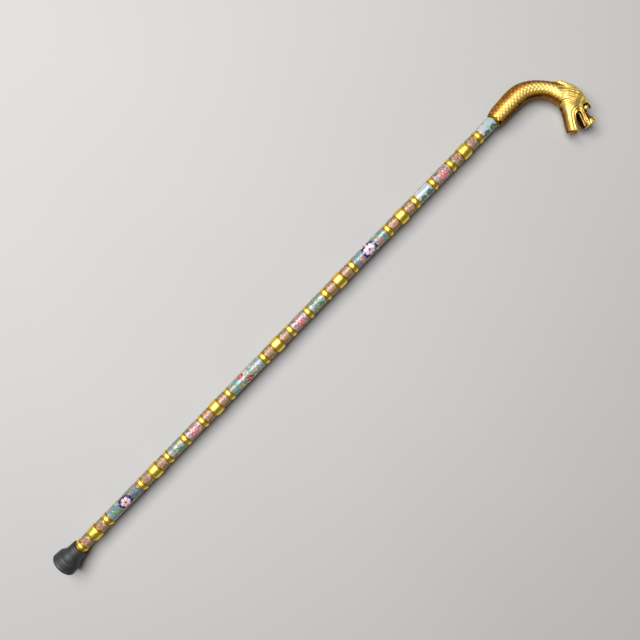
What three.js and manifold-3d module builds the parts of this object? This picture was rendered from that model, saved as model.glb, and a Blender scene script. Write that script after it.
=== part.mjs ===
// A cloisonne walking cane: gilt and enamel beads strung on a steel rod between a rubber tip
// and a cast dragon crook that screws onto the top of the rod.
// Millimetres. The cane lies on the ground: +X runs up the shaft from the tip to the crook,
// the crook bends towards -Y, and +Z is up.

import * as THREE from "three";
import { mergeVertices } from "three/addons/utils/BufferGeometryUtils.js";
import Module from "manifold-3d";

const wasm = await Module();
wasm.setup();

// Gaps between neighbouring pieces
const faceGap = 0.1; // between faces that bear on each other along the shaft
const boreGap = 0.3; // round the rod, in the rubber's socket and in the handle's socket

// Core rod, with its threads as plain lengths
const rodRadius = 4;
const rodChamfer = 0.8;
const threadPitch = 1.5;
const threadTurns = 10.5; // turns of thread that hold the handle
const rodPastNut = 1.5;

// Bottom end: what clamps the beads and carries the rubber tip
const sleeveRadius = 8.2;
const sleeveLength = 14;
const turnedEdge = 0.1; // the small chamfer on the sleeve's and the washer's rims
const washerRadius = 7.8;
const washerThickness = 1.6;
const nutAcrossFlats = 13;
const nutHeight = 6.5;

// Rubber tip
const footRadius = 18;
const footHeight = 15;
const footTaper = 1; // how much narrower the top of the foot is
const footEdge = 1.5;
const shoulderLength = 7;
const shoulderHollow = 1.4; // 1 makes the shoulder's hollow a plain quarter round, more deepens it
const neckRadius = 12.4;
const mouthRadius = 11.7;
const mouthLip = 1;
const tipFloor = 9; // solid rubber under the rod
const treadDepth = 1.4;
const treadWidth = 1.6;
const treadRadii = [6.5, 11.5];
const tipClearance = 1; // between the floor of the socket and the end of the rod

// Beads
const ringLength = 8;
const ringRadius = 9.2;
const ringEndRadius = 7.9;
const ringRound = 2.2;
const smallLength = 13;
const smallRadius = 8.4;
const smallEndRadius = 7.7;
const smallRound = 1;
const barrelLength = 16;
const barrelRadius = 9.8;
const barrelEndRadius = 8;
const barrelRound = 4;
const longLength = 58;
const middleLength = 25;
const tubeRadius = 8.5;
const tubeEndRadius = 7.8;
const tubeRound = 1;

// Seat ring under the handle
const seatThickness = 1.2;
const seatRadius = 10.4;
const seatEdge = 0.6;

// Crook: a straight neck, then an arc that carries the head
const neckLength = 39.5;
const crookRadius = 41.5;
const socketSpare = 3; // how much deeper the handle's socket is than its thread
const socketEntry = 1; // how far outside the handle's foot the socket's cut starts
const keelWidth = 4.4;
const keelRise = 0.9;
const keelRoot = 2.7; // how deep the keel is sunk into the back of the crook
const keelStart = 4;
const keelEnd = 86;

// Facets
const roundSides = 16;
const footSides = 24;
const crookSides = 20;
const hornSides = 8;
const toothSides = 5;
const shoulderSteps = 4;
const chamfer = 1; // steps in a bead's rounded edge
const halfRound = 2;

// The sections of the crook, each by its place along the path, with how far the metal reaches
// outside the path and inside it, and half its thickness from side to side
const crookSections = [
  { at: 0, outside: 11.3, inside: 11.3, half: 11.3 },
  { at: 7, outside: 12.6, inside: 11.6, half: 11.7 },
  { at: 21, outside: 13.7, inside: 11.9, half: 12.2 },
  { at: 38, outside: 14.2, inside: 12.5, half: 12.6 },
  { at: 47, outside: 13.6, inside: 12.7, half: 12.6 },
  { at: 56, outside: 12, inside: 12.9, half: 12.3 },
  { at: 65, outside: 10.4, inside: 12.9, half: 11.9 },
  { at: 74, outside: 9.4, inside: 12.7, half: 11.8 },
  { at: 83, outside: 9.8, inside: 12.3, half: 12 },
  { at: 91, outside: 11.6, inside: 11.8, half: 12.6 },
  { at: 99, outside: 14.2, inside: 11, half: 13.6 },
  { at: 107, outside: 16.6, inside: 10.2, half: 14.8 },
  { at: 114, outside: 18.6, inside: 9.3, half: 15.2 },
  { at: 120, outside: 19.6, inside: 8.6, half: 14 },
  { at: 125, outside: 18, inside: 6.5, half: 11.8 },
  { at: 128, outside: 14, inside: 2, half: 8 },
];

// The jaws, each section by the angle round the arc and the height over the path of its two
// edges: the one towards the back of the head and the one towards the throat
const upperJaw = [
  { back: [16, 18], throat: [16, 3], half: 13.8 },
  { back: [30, 18.2], throat: [31.5, 7], half: 12.2 },
  { back: [36, 18.4], throat: [36.5, 11], half: 10.2 },
  { back: [40.5, 20.4], throat: [43, 14], half: 9.2 },
  { back: [44, 26], throat: [48.5, 16.4], half: 9.4 },
  { back: [46, 29], throat: [52.5, 18.2], half: 8.6 },
  { back: [48.5, 28.8], throat: [54.8, 19.8], half: 6.8 },
];
const lowerJaw = [
  { back: [16, 8], throat: [16, -8.7], half: 13.6 },
  { back: [34, 5], throat: [36, -8.2], half: 11.8 },
  { back: [46, 6.4], throat: [50, -6.8], half: 10 },
  { back: [54, 8.6], throat: [62, -5], half: 9 },
  { back: [59, 8.8], throat: [68.4, -2.4], half: 8.2 },
];

// The skull, which fills the head between the mane, the brows and the upper jaw
const skull = [
  { back: [-8, 13], throat: [-8, 2], half: 11 },
  { back: [4, 19.5], throat: [4, 2], half: 13 },
  { back: [13, 21.5], throat: [13, 3], half: 12.6 },
  { back: [20, 22.8], throat: [20, 5], half: 11.6 },
  { back: [27, 23.6], throat: [27, 8], half: 10.4 },
  { back: [32, 22.8], throat: [34, 10], half: 8.8 },
  { back: [35, 19.6], throat: [37, 11], half: 6.5 },
];

// The mane that sweeps back from the brow over the nape, in sections like a jaw's
const mane = [
  { back: [-25, 13], throat: [-25, 9], half: 2.6 },
  { back: [-21, 16.2], throat: [-21, 9], half: 5 },
  { back: [-13, 18], throat: [-13, 10], half: 7 },
  { back: [-4, 20.2], throat: [-4, 12], half: 8.2 },
  { back: [4, 22], throat: [4, 13], half: 8.6 },
  { back: [9, 22.5], throat: [9, 14], half: 8 },
  { back: [11, 20.4], throat: [11, 15], half: 6.4 },
];

// Forms set on each side of the head, each a tapering horn through points given by angle,
// height over the path and distance from the middle plane, with its radius at each point
const brow = [
  { angle: 8, height: 15.4, out: 8.2, radius: 3.2 },
  { angle: 15, height: 17.4, out: 9.2, radius: 4.2 },
  { angle: 22, height: 20.9, out: 9.4, radius: 4.6 },
  { angle: 27, height: 24, out: 8.8, radius: 3.8 },
  { angle: 29.6, height: 25.8, out: 8.2, radius: 2 },
];
const nostril = [
  { angle: 40.5, height: 20.4, out: 5.4, radius: 2.6 },
  { angle: 43.5, height: 25.2, out: 5.6, radius: 3.3 },
  { angle: 45.5, height: 27.6, out: 5, radius: 2.4 },
];
const eye = { angle: 31.5, height: 19.4, out: 7.9, radius: 3.6 };
const teethPerSide = 7;
const toothRadius = 1.15;
const toothLength = 2.2;
const toothShoulder = 0.75; // the tooth's share of its radius where its blunt end starts
const toothRoot = 3.5; // how far a tooth reaches into the jaw
const toothOut = 5.8;
const teethFrom = [36.5, 11];
const teethTo = [52, 17.6];
const headRoundness = 0.78; // 1 makes the head's sections true ovals, less makes them squarer

// Finishes
function finish(color, roughness, metalness) {
  return new THREE.MeshStandardMaterial({ color, roughness, metalness });
}
const giltFinish = finish(0xd9a520, 0.3, 1);
const castFinish = finish(0xc99a1e, 0.38, 1);
const rubberFinish = finish(0x232325, 0.75, 0);
const steelFinish = finish(0x8c8f93, 0.35, 1);
const smallFinish = finish(0xd6ab98, 0.25, 0);
const pinkFinish = finish(0xb98a9c, 0.22, 0);
const blueFinish = finish(0x8fc3d4, 0.22, 0);
const paleFinish = finish(0xc4d4cc, 0.22, 0);

// Worked out from the driving dimensions
const boreRadius = rodRadius + boreGap;
const nutStart = tipFloor + tipClearance + rodPastNut;
const washerStart = nutStart + nutHeight + faceGap;
const sleeveStart = washerStart + washerThickness + faceGap;
const tipLength = sleeveStart + sleeveLength + faceGap;
const socketRadius = sleeveRadius + boreGap;
const stackStart = tipLength + faceGap;
const threadLength = threadPitch * threadTurns;

// A solid turned about the X axis from a closed profile of [place along X, radius] points
function turned(profile, sides = roundSides) {
  const points = [...profile, profile[0]].map(([along, radius]) => new THREE.Vector2(radius, along));
  const geometry = new THREE.LatheGeometry(points, sides);
  geometry.rotateZ(-Math.PI / 2);
  return geometry;
}

// A bead's profile, with both ends rounded off from the full radius to the end radius
function beadProfile(length, radius, endRadius, round, steps) {
  const lower = [];
  for (let i = 0; i <= steps; i++) {
    const angle = (i / steps) * (Math.PI / 2);
    lower.push([round * (1 - Math.cos(angle)), endRadius + (radius - endRadius) * Math.sin(angle)]);
  }
  const upper = lower.map(([along, r]) => [length - along, r]).reverse();
  return [[0, boreRadius], ...lower, ...upper, [length, boreRadius]];
}

function beadOf(length, radius, endRadius, round, steps) {
  return turned(beadProfile(length, radius, endRadius, round, steps));
}

// The rubber tip: treads under the foot, a hollow shoulder, and a socket open at the mouth
function rubberTipShape() {
  const treads = [...treadRadii].reverse().flatMap((r) => [
    [0, r + treadWidth / 2],
    [treadDepth, r + treadWidth / 2],
    [treadDepth, r - treadWidth / 2],
    [0, r - treadWidth / 2],
  ]);
  const footTop = footRadius - footTaper;
  const shoulder = [];
  for (let i = 0; i <= shoulderSteps; i++) {
    const rise = Math.sin((i / shoulderSteps) * (Math.PI / 2));
    const spread = (footTop - footEdge - neckRadius) * (1 - rise) ** shoulderHollow;
    shoulder.push([footHeight + shoulderLength * rise, neckRadius + spread]);
  }
  return turned([
    [tipFloor, 0],
    [tipFloor, socketRadius],
    [tipLength, socketRadius],
    [tipLength, mouthRadius - mouthLip / 2],
    [tipLength - mouthLip, mouthRadius],
    ...shoulder.reverse(),
    [footHeight - footEdge, footTop],
    [footEdge, footRadius],
    [0, footRadius - footEdge],
    ...treads,
    [0, 0],
  ].reverse(), footSides);
}

// The core rod, from below the nut to the end of the handle's thread
function coreRodShape(start, end) {
  return turned([
    [start, 0],
    [start, rodRadius - rodChamfer],
    [start + rodChamfer, rodRadius],
    [end - rodChamfer, rodRadius],
    [end, rodRadius - rodChamfer],
    [end, 0],
  ]);
}

function hexNutShape() {
  const outline = new THREE.Shape();
  const corner = nutAcrossFlats / 2 / Math.cos(Math.PI / 6);
  for (let i = 0; i < 6; i++) {
    const angle = (i * Math.PI) / 3;
    const move = i === 0 ? "moveTo" : "lineTo";
    outline[move](corner * Math.cos(angle), corner * Math.sin(angle));
  }
  outline.closePath();
  const bore = new THREE.Path();
  bore.absarc(0, 0, boreRadius, 0, 2 * Math.PI, true);
  outline.holes.push(bore);
  const geometry = new THREE.ExtrudeGeometry(outline, {
    depth: nutHeight,
    bevelEnabled: false,
    curveSegments: roundSides / 2,
  });
  geometry.rotateY(Math.PI / 2);
  return geometry;
}

// The point of the crook's plane at an angle round the arc and a height over the path, where
// the angle is 0 at the far side of the arc and the height grows away from its centre
function onHead([degrees, height], out = 0) {
  const angle = THREE.MathUtils.degToRad(degrees);
  const reach = crookRadius + height;
  return new THREE.Vector3(
    neckLength + reach * Math.cos(angle),
    -(crookRadius + reach * Math.sin(angle)),
    out,
  );
}

// The same for a length along the path, which runs straight and then round the arc
function onCrook(at, height) {
  if (at <= neckLength) return new THREE.Vector3(at, height, 0);
  const turnedBy = THREE.MathUtils.radToDeg((at - neckLength) / crookRadius);
  return onHead([turnedBy - 90, height]);
}

// One ring of a loft: an oval from its back edge to its throat edge, of the given half thickness
function ovalRing(back, throat, half, sides, roundness = 1) {
  const middle = back.clone().add(throat).multiplyScalar(0.5);
  const reach = back.clone().sub(throat).multiplyScalar(0.5);
  const squared = (x) => Math.sign(x) * Math.abs(x) ** roundness;
  const ring = [];
  for (let i = 0; i < sides; i++) {
    const angle = ((i + 0.5) / sides) * 2 * Math.PI;
    const point = middle.clone().addScaledVector(reach, squared(Math.cos(angle)));
    point.z = half * squared(Math.sin(angle));
    ring.push(point);
  }
  return ring;
}

// A closed body through rings of equally many points, with a fan over each end
function loft(rings) {
  const sides = rings[0].length;
  const points = rings.flat();
  const centreOf = (ring) => ring.reduce((sum, p) => sum.add(p), new THREE.Vector3()).divideScalar(sides);
  const first = points.push(centreOf(rings[0])) - 1;
  const last = points.push(centreOf(rings.at(-1))) - 1;
  const faces = [];
  for (let i = 0; i < sides; i++) {
    const next = (i + 1) % sides;
    const top = (rings.length - 1) * sides;
    faces.push(first, next, i, last, top + i, top + next);
    for (let r = 0; r + 1 < rings.length; r++) {
      const here = r * sides;
      const there = here + sides;
      faces.push(here + i, here + next, there + next, here + i, there + next, there + i);
    }
  }
  const geometry = new THREE.BufferGeometry().setFromPoints(points);
  geometry.setIndex(faces);
  return geometry;
}

// A tapering horn through points on the head, on one side of the middle plane
function horn(points, side) {
  const places = points.map((p) => onHead([p.angle, p.height], side * p.out));
  const path = new THREE.CatmullRomCurve3(places);
  const rings = points.map((p, i) => {
    const along = path.getTangent(i / (points.length - 1));
    const across = new THREE.Vector3(0, 0, 1).cross(along).normalize();
    const up = along.clone().cross(across);
    const ring = [];
    for (let k = 0; k < hornSides; k++) {
      const angle = (k / hornSides) * 2 * Math.PI;
      ring.push(
        places[i]
          .clone()
          .addScaledVector(across, p.radius * Math.cos(angle))
          .addScaledVector(up, p.radius * Math.sin(angle)),
      );
    }
    return ring;
  });
  return loft(rings);
}

function ball(place, radius) {
  const geometry = new THREE.SphereGeometry(radius, hornSides, hornSides - 2);
  geometry.translate(place.x, place.y, place.z);
  return geometry;
}

// One blunt tooth, standing on the plane of the gum with its root below it
function toothShape() {
  const profile = [
    [0, -toothRoot],
    [toothRadius, -toothRoot],
    [toothRadius, 0],
    [toothRadius * toothShoulder, toothLength * toothShoulder],
    [0, toothLength],
  ];
  return new THREE.LatheGeometry(profile.map(([x, y]) => new THREE.Vector2(x, y)), toothSides);
}

// A row of teeth along one side of the upper jaw, set across the mouth
function teeth(side) {
  const row = [];
  for (let i = 0; i < teethPerSide; i++) {
    const share = i / (teethPerSide - 1);
    const angle = THREE.MathUtils.lerp(teethFrom[0], teethTo[0], share);
    const height = THREE.MathUtils.lerp(teethFrom[1], teethTo[1], share);
    const gum = onHead([angle, height], side * toothOut);
    const towards = onHead([angle, height - toothLength], side * toothOut).sub(gum).normalize();
    const tooth = toothShape();
    tooth.applyQuaternion(new THREE.Quaternion().setFromUnitVectors(new THREE.Vector3(0, 1, 0), towards));
    tooth.translate(gum.x, gum.y, gum.z);
    row.push(tooth);
  }
  return row;
}

function solidOf(geometry) {
  const bare = geometry.clone();
  bare.deleteAttribute("normal");
  bare.deleteAttribute("uv");
  const merged = mergeVertices(bare, 1e-4);
  return new wasm.Manifold(
    new wasm.Mesh({
      numProp: 3,
      vertProperties: merged.attributes.position.array,
      triVerts: new Uint32Array(merged.index.array),
    }),
  );
}

function geometryOf(solid) {
  const { vertProperties, triVerts } = solid.getMesh();
  const geometry = new THREE.BufferGeometry();
  geometry.setAttribute("position", new THREE.BufferAttribute(vertProperties, 3));
  geometry.setIndex(new THREE.BufferAttribute(triVerts, 1));
  return geometry;
}

// The cast handle: the crook and its keel, the open jaws, and the forms of the head, with a
// threaded socket for the core rod in its foot
function dragonHandleShape() {
  const crook = crookSections.map(({ at, outside, inside, half }) =>
    ovalRing(onCrook(at, outside), onCrook(at, -inside), half, crookSides),
  );
  const keel = crookSections
    .filter(({ at }) => at > keelStart && at <= keelEnd)
    .map(({ at, outside }) => {
      const crest = onCrook(at, outside + keelRise);
      return ovalRing(crest, onCrook(at, outside - keelRoot), keelWidth / 2, hornSides);
    });
  const masses = [upperJaw, lowerJaw, mane, skull].map((mass) =>
    mass.map(({ back, throat, half }) =>
      ovalRing(onHead(back), onHead(throat), half, crookSides, headRoundness),
    ),
  );
  let handle = solidOf(loft(crook));
  for (const rings of [keel, ...masses]) handle = handle.add(solidOf(loft(rings)));
  for (const side of [-1, 1]) {
    for (const form of [brow, nostril]) handle = handle.add(solidOf(horn(form, side)));
    handle = handle.add(solidOf(ball(onHead([eye.angle, eye.height], side * eye.out), eye.radius)));
    for (const tooth of teeth(side)) handle = handle.add(solidOf(tooth));
  }
  const socket = turned([
    [-socketEntry, 0],
    [-socketEntry, boreRadius],
    [threadLength + socketSpare, boreRadius],
    [threadLength + socketSpare + boreRadius / 2, 0],
  ]);
  return geometryOf(handle.subtract(solidOf(socket)));
}

// Assembly
const cane = new THREE.Group();

function place(name, along, material, geometry) {
  const mesh = new THREE.Mesh(geometry, material.clone());
  mesh.name = name;
  mesh.position.x = along;
  cane.add(mesh);
}

// A bead with its rims rounded by the same amount along and across
function beadWithEdge(length, radius, edge) {
  return beadOf(length, radius, radius - edge, edge, chamfer);
}

place("rubber_tip", 0, rubberFinish, rubberTipShape());
place("end_nut", nutStart, steelFinish, hexNutShape());
place("end_washer", washerStart, steelFinish, beadWithEdge(washerThickness, washerRadius, turnedEdge));
place("end_sleeve", sleeveStart, steelFinish, beadWithEdge(sleeveLength, sleeveRadius, turnedEdge));

// The kinds of bead, each with its node name, its shape and its finish
const kinds = {
  ring: {
    name: "gilt_ring",
    length: ringLength,
    shape: () => beadOf(ringLength, ringRadius, ringEndRadius, ringRound, halfRound),
    finishes: [giltFinish],
  },
  small: {
    name: "small_enamel",
    length: smallLength,
    shape: () => beadOf(smallLength, smallRadius, smallEndRadius, smallRound, chamfer),
    finishes: [smallFinish],
  },
  barrel: {
    name: "gilt_barrel",
    length: barrelLength,
    shape: () => beadOf(barrelLength, barrelRadius, barrelEndRadius, barrelRound, halfRound),
    finishes: [giltFinish],
  },
  long: {
    name: "long_enamel",
    length: longLength,
    shape: () => beadOf(longLength, tubeRadius, tubeEndRadius, tubeRound, chamfer),
    finishes: [blueFinish],
  },
  middle: {
    name: "middle_enamel",
    length: middleLength,
    shape: () => beadOf(middleLength, tubeRadius, tubeEndRadius, tubeRound, chamfer),
    finishes: [blueFinish, pinkFinish, pinkFinish, blueFinish, paleFinish, pinkFinish, paleFinish],
  },
};

// The order on the rod: a cluster round a gilt barrel, then one long bead or two middle ones
const cluster = ["ring", "small", "barrel", "small", "ring"];
const pair = ["middle", "ring", "middle"];
const stretch = [cluster, ["long"], cluster, pair];
const stack = [stretch, stretch, stretch, cluster, ["middle"]];

let along = stackStart;
const counts = {};
for (const key of stack.flat(2)) {
  const kind = kinds[key];
  const count = (counts[key] = (counts[key] ?? 0) + 1);
  const number = String(count).padStart(2, "0");
  const material = kind.finishes[(count - 1) % kind.finishes.length];
  place(`${kind.name}_${number}`, along, material, kind.shape());
  along += kind.length + faceGap;
}

place("seat_ring", along, giltFinish, beadWithEdge(seatThickness, seatRadius, seatEdge));
const handleStart = along + seatThickness + faceGap;
const rodStart = tipFloor + tipClearance;
place("core_rod", rodStart, steelFinish, coreRodShape(0, handleStart + threadLength - rodStart));
place("dragon_handle", handleStart, castFinish, dragonHandleShape());

// The origin lies on the ground under the middle of the cane
const extent = new THREE.Box3().setFromObject(cane, true);
const middle = extent.getCenter(new THREE.Vector3());
cane.position.set(-middle.x, -middle.y, -extent.min.z);

export default cane;
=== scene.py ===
"""Dresses a cloisonne walking cane round its packed construction frame.

The cane lies on the floor. X runs up the shaft from the rubber tip to the dragon crook, the
crook bends towards -Y, and Z is up. Sizes are millimetres here and metres in the meshes.
"""

from __future__ import annotations

import logging
import math
from dataclasses import dataclass, field
from enum import Enum
from itertools import product
from typing import Sequence

import bpy
import numpy as np
from mathutils import Matrix, Vector


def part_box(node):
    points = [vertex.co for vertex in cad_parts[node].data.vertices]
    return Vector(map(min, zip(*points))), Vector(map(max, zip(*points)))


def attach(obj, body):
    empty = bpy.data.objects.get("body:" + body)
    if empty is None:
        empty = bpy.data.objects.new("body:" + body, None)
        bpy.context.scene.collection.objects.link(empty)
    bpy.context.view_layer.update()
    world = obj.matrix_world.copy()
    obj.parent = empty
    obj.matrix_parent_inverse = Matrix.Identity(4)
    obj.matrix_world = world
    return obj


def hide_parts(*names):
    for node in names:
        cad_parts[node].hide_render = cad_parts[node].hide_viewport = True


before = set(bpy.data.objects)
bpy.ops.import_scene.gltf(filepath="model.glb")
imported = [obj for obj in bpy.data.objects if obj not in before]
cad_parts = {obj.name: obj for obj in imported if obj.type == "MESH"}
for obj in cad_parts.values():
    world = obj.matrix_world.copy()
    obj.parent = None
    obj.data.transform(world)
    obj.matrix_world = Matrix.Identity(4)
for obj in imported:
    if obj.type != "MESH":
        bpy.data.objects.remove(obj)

log = logging.getLogger("cloisonne_cane")
MM = 0.001
Colour = tuple[float, float, float]
Outline = np.ndarray
Faces = list[list[int]]
Socket = bpy.types.NodeSocket
CORE_BORE = 4.3


class Body(Enum):
    """The bodies of the cane that move apart."""

    SHAFT = "shaft"
    TIP = "tip"
    SEAT = "seat"
    HANDLE = "handle"


class Slot(Enum):
    """The record's material slots."""

    GILT = "gilt"
    CAST_GILT = "cast_gilt"
    RUBBER = "rubber"
    STEEL = "steel"
    SPECKLED = "enamel_speckled"
    BLUE = "enamel_blue"
    ROSE = "enamel_rose"
    PALE = "enamel_pale"


# Node trees


class Wiring:
    """Adds and joins the nodes of one tree."""

    def __init__(self, tree: bpy.types.NodeTree) -> None:
        """Keeps the shader or geometry node tree to work on."""
        self.tree = tree

    def feed(self, node: bpy.types.Node, inputs: dict) -> None:
        """Sets or links a node's inputs.

        Args:
            node: the node.
            inputs: a value or an output socket for each input, by its name or number.
        """
        for key, value in inputs.items():
            if isinstance(value, Socket):
                self.tree.links.new(value, node.inputs[key])
            else:
                node.inputs[key].default_value = value

    def add(self, kind: str, inputs: dict | None = None, **settings: object) -> bpy.types.Node:
        """Adds a node and sets or links its inputs.

        Args:
            kind: the node's type.
            inputs: a value or an output socket for each input, by its name or number.
            **settings: the node's own properties.

        Returns:
            The new node.
        """
        node = self.tree.nodes.new(kind)
        for name, value in settings.items():
            setattr(node, name, value)
        self.feed(node, inputs or {})
        return node

    def math(self, operation: str, *values: object) -> Socket:
        """Adds a sum, such as MULTIPLY, of numbers and sockets and returns its result."""
        return self.add("ShaderNodeMath", dict(enumerate(values)), operation=operation).outputs[0]

    def noise(self, place: Socket, scale: float, detail: float, roughness: float = 0.5) -> Socket:
        """Adds a noise texture on some coordinates and returns its value."""
        inputs = {"Vector": place, "Scale": scale, "Detail": detail, "Roughness": roughness}
        return self.add("ShaderNodeTexNoise", inputs).outputs["Fac"]

    def remap(self, value: Socket, given: tuple[float, float], wanted: tuple[float, float]) -> Socket:
        """Adds a change from one range of a value to another and returns its result."""
        ends = dict(zip(("From Min", "From Max", "To Min", "To Max"), (*given, *wanted)))
        return self.add("ShaderNodeMapRange", {"Value": value, **ends}).outputs["Result"]

    def shade(self, colour: object, value: Socket) -> Socket:
        """Adds a change of a colour's brightness and returns its result."""
        return self.add("ShaderNodeHueSaturation", {"Color": colour, "Value": value}).outputs["Color"]

    def mix(self, share: Socket, first: object, second: object) -> Socket:
        """Adds a mix of two colours and returns its result."""
        inputs = {"Factor": share, 6: first, 7: second}
        return self.add("ShaderNodeMix", inputs, data_type="RGBA").outputs[2]

    def bump(self, height: Socket, strength: float, distance: float = 0.0002) -> Socket:
        """Adds a bump of a height in metres and returns its normal."""
        inputs = {"Height": height, "Strength": strength, "Distance": distance}
        return self.add("ShaderNodeBump", inputs).outputs["Normal"]

    def attribute(self, name: str, output: str) -> Socket:
        """Adds a mesh attribute's node and returns one of its outputs."""
        return self.add("ShaderNodeAttribute", attribute_name=name).outputs[output]


# Finishes


def rgba(colour: Colour) -> tuple[float, float, float, float]:
    """Returns a colour with full opacity."""
    return (*colour, 1.0)


@dataclass(frozen=True)
class Finish:
    """A surface finish that becomes one material."""

    name: str

    def surface(self, wiring: Wiring, place: Socket) -> dict[str, object]:
        """Adds the finish's nodes.

        Args:
            wiring: the material's tree.
            place: the Object coordinates.

        Returns:
            A value or a socket for each of the shader's inputs that the finish sets.
        """
        raise NotImplementedError

    def material(self) -> bpy.types.Material:
        """Returns the finish's material, made at its first use."""
        found = bpy.data.materials.get(self.name)
        if found:
            return found
        made = bpy.data.materials.new(self.name)
        made.use_nodes = True
        wiring = Wiring(made.node_tree)
        place = wiring.add("ShaderNodeTexCoord").outputs["Object"]
        wiring.feed(made.node_tree.nodes["Principled BSDF"], self.surface(wiring, place))
        return made


@dataclass(frozen=True)
class Gilt(Finish):
    """Gilded metal, bright where it is rubbed and brown where dirt and patina stay, and on the handle also
    brown as painted shade and bright as a painted sheen.

    The mesh attribute called patina says how much of the brown a point has, from 0 to 1; on the handle it
    also holds painted shade.
    """

    bright: Colour
    mellow: Colour
    dark: Colour
    roughness: float
    pitting: float

    def surface(self, wiring: Wiring, place: Socket) -> dict[str, object]:
        """Returns the shader's inputs for gilt."""
        cloud, fine = wiring.noise(place, 160.0, 5.0), wiring.noise(place, 1100.0, 3.0)
        drift = wiring.math("MULTIPLY_ADD", cloud, 0.5, -0.25)
        level = wiring.math("ADD", wiring.attribute("patina", "Fac"), drift)
        ramp = wiring.add("ShaderNodeValToRGB", {"Fac": level})
        stops = ramp.color_ramp.elements
        stops[0].position, stops[0].color = 0.05, rgba(self.bright)
        stops[1].position, stops[1].color = 0.9, rgba(self.dark)
        stops.new(0.45).color = rgba(self.mellow)
        worn = wiring.remap(level, (0.0, 1.0), (self.roughness, 0.62))
        return {
            "Base Color": ramp.outputs["Color"],
            "Roughness": wiring.math("MULTIPLY_ADD", fine, 0.14, worn),
            "Normal": wiring.bump(fine, self.pitting),
            "Metallic": 1.0,
        }


@dataclass(frozen=True)
class Enamel(Finish):
    """Fired and polished glass paste, coloured by the mesh attribute called tint."""

    mottle: float
    gloss: float

    def surface(self, wiring: Wiring, place: Socket) -> dict[str, object]:
        """Returns the shader's inputs for enamel, mottled and dotted with dark pores."""
        cloud, grain = wiring.noise(place, 420.0, 4.0), wiring.noise(place, 2600.0, 2.0)
        pores = wiring.add("ShaderNodeTexVoronoi", {"Vector": place, "Scale": 1500.0}).outputs["Distance"]
        bright = wiring.math("MULTIPLY_ADD", cloud, self.mottle, 1.0 - self.mottle / 2)
        speckled = wiring.math("MULTIPLY_ADD", grain, self.mottle, -self.mottle / 2)
        shade = wiring.shade(wiring.attribute("tint", "Color"), wiring.math("ADD", bright, speckled))
        hole = wiring.math("MULTIPLY", wiring.math("LESS_THAN", pores, 0.13), 0.45)
        return {
            "Base Color": wiring.mix(hole, shade, rgba(PORE)),
            "Roughness": wiring.math("MULTIPLY_ADD", grain, 0.16, self.gloss),
            "Normal": wiring.bump(cloud, 0.16),
            "IOR": 1.52,
            "Coat Weight": 0.5,
            "Coat Roughness": 0.09,
        }


@dataclass(frozen=True)
class Rubber(Finish):
    """Satin black rubber with dust in it and a scuffed, paler skin where it is worn."""

    black: Colour
    dust: Colour

    def surface(self, wiring: Wiring, place: Socket) -> dict[str, object]:
        """Returns the shader's inputs for rubber."""
        patches, grain = wiring.noise(place, 90.0, 8.0, 0.7), wiring.noise(place, 1900.0, 3.0)
        dusty = wiring.remap(patches, (0.42, 0.75), (0.0, 0.55))
        worn = wiring.math("MULTIPLY", wiring.attribute("patina", "Fac"), 0.8)
        share = wiring.math("MAXIMUM", dusty, worn)
        speck = wiring.math("MULTIPLY", share, wiring.math("MULTIPLY_ADD", grain, 1.2, 0.1))
        return {
            "Base Color": wiring.mix(speck, rgba(self.black), rgba(self.dust)),
            "Roughness": wiring.math("MULTIPLY_ADD", grain, 0.25, 0.42),
            "Normal": wiring.bump(grain, 0.35, 0.0003),
        }


@dataclass(frozen=True)
class Steel(Finish):
    """Zinc-plated steel with fine turning marks."""

    colour: Colour

    def surface(self, wiring: Wiring, place: Socket) -> dict[str, object]:
        """Returns the shader's inputs for plated steel."""
        stretched = wiring.add("ShaderNodeMapping", {"Vector": place, "Scale": (3500.0, 120.0, 120.0)})
        marks, spots = wiring.noise(stretched.outputs[0], 1.0, 3.0), wiring.noise(place, 300.0, 6.0)
        value = wiring.math("MULTIPLY_ADD", spots, 0.5, 0.72)
        return {
            "Base Color": wiring.shade(rgba(self.colour), value),
            "Roughness": wiring.math("MULTIPLY_ADD", marks, 0.25, 0.2),
            "Normal": wiring.bump(marks, 0.2, 0.0001),
            "Metallic": 1.0,
        }


@dataclass(frozen=True)
class PlainFloor(Finish):
    """A pale matt studio floor."""

    colour: Colour

    def surface(self, wiring: Wiring, place: Socket) -> dict[str, object]:
        """Returns the shader's inputs for the floor."""
        value = wiring.math("MULTIPLY_ADD", wiring.noise(place, 3.0, 2.0), 0.06, 0.97)
        return {
            "Base Color": wiring.shade(rgba(self.colour), value),
            "Roughness": 0.85,
            "Specular IOR Level": 0.2,
        }


PORE = (0.05, 0.04, 0.04)
BEAD_GILT = Gilt("bead_gilt", (1.0, 0.76, 0.12), (0.8, 0.36, 0.035), (0.1, 0.04, 0.01), 0.31, 0.08)
WIRE_GILT = Gilt("wire_gilt", (0.66, 0.46, 0.15), (0.46, 0.27, 0.08), (0.14, 0.08, 0.03), 0.34, 0.05)
# The cast gilt's near-black brown serves both as patina and as painted shade in the mouth and under the
# head.
CAST_GILT = Gilt("worn_cast_gilt", (1.0, 0.8, 0.24), (0.64, 0.31, 0.05), (0.045, 0.016, 0.005), 0.45, 0.3)
ENAMEL = Enamel("fired_enamel", 0.36, 0.12)
BLACK_RUBBER = Rubber("black_rubber", (0.014, 0.0145, 0.016), (0.11, 0.108, 0.104))
ZINC_STEEL = Steel("zinc_steel", (0.56, 0.57, 0.59))
STUDIO_FLOOR = PlainFloor("studio_floor", (0.41, 0.405, 0.4))


# Meshes

ATTRIBUTE_PARTS = {"FLOAT": "value", "FLOAT_VECTOR": "vector", "FLOAT_COLOR": "color"}


def span(node: str) -> tuple[float, float]:
    """Returns where a construction node starts and ends along X, in millimetres."""
    low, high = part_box(node)
    return low.x / MM, high.x / MM


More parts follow.
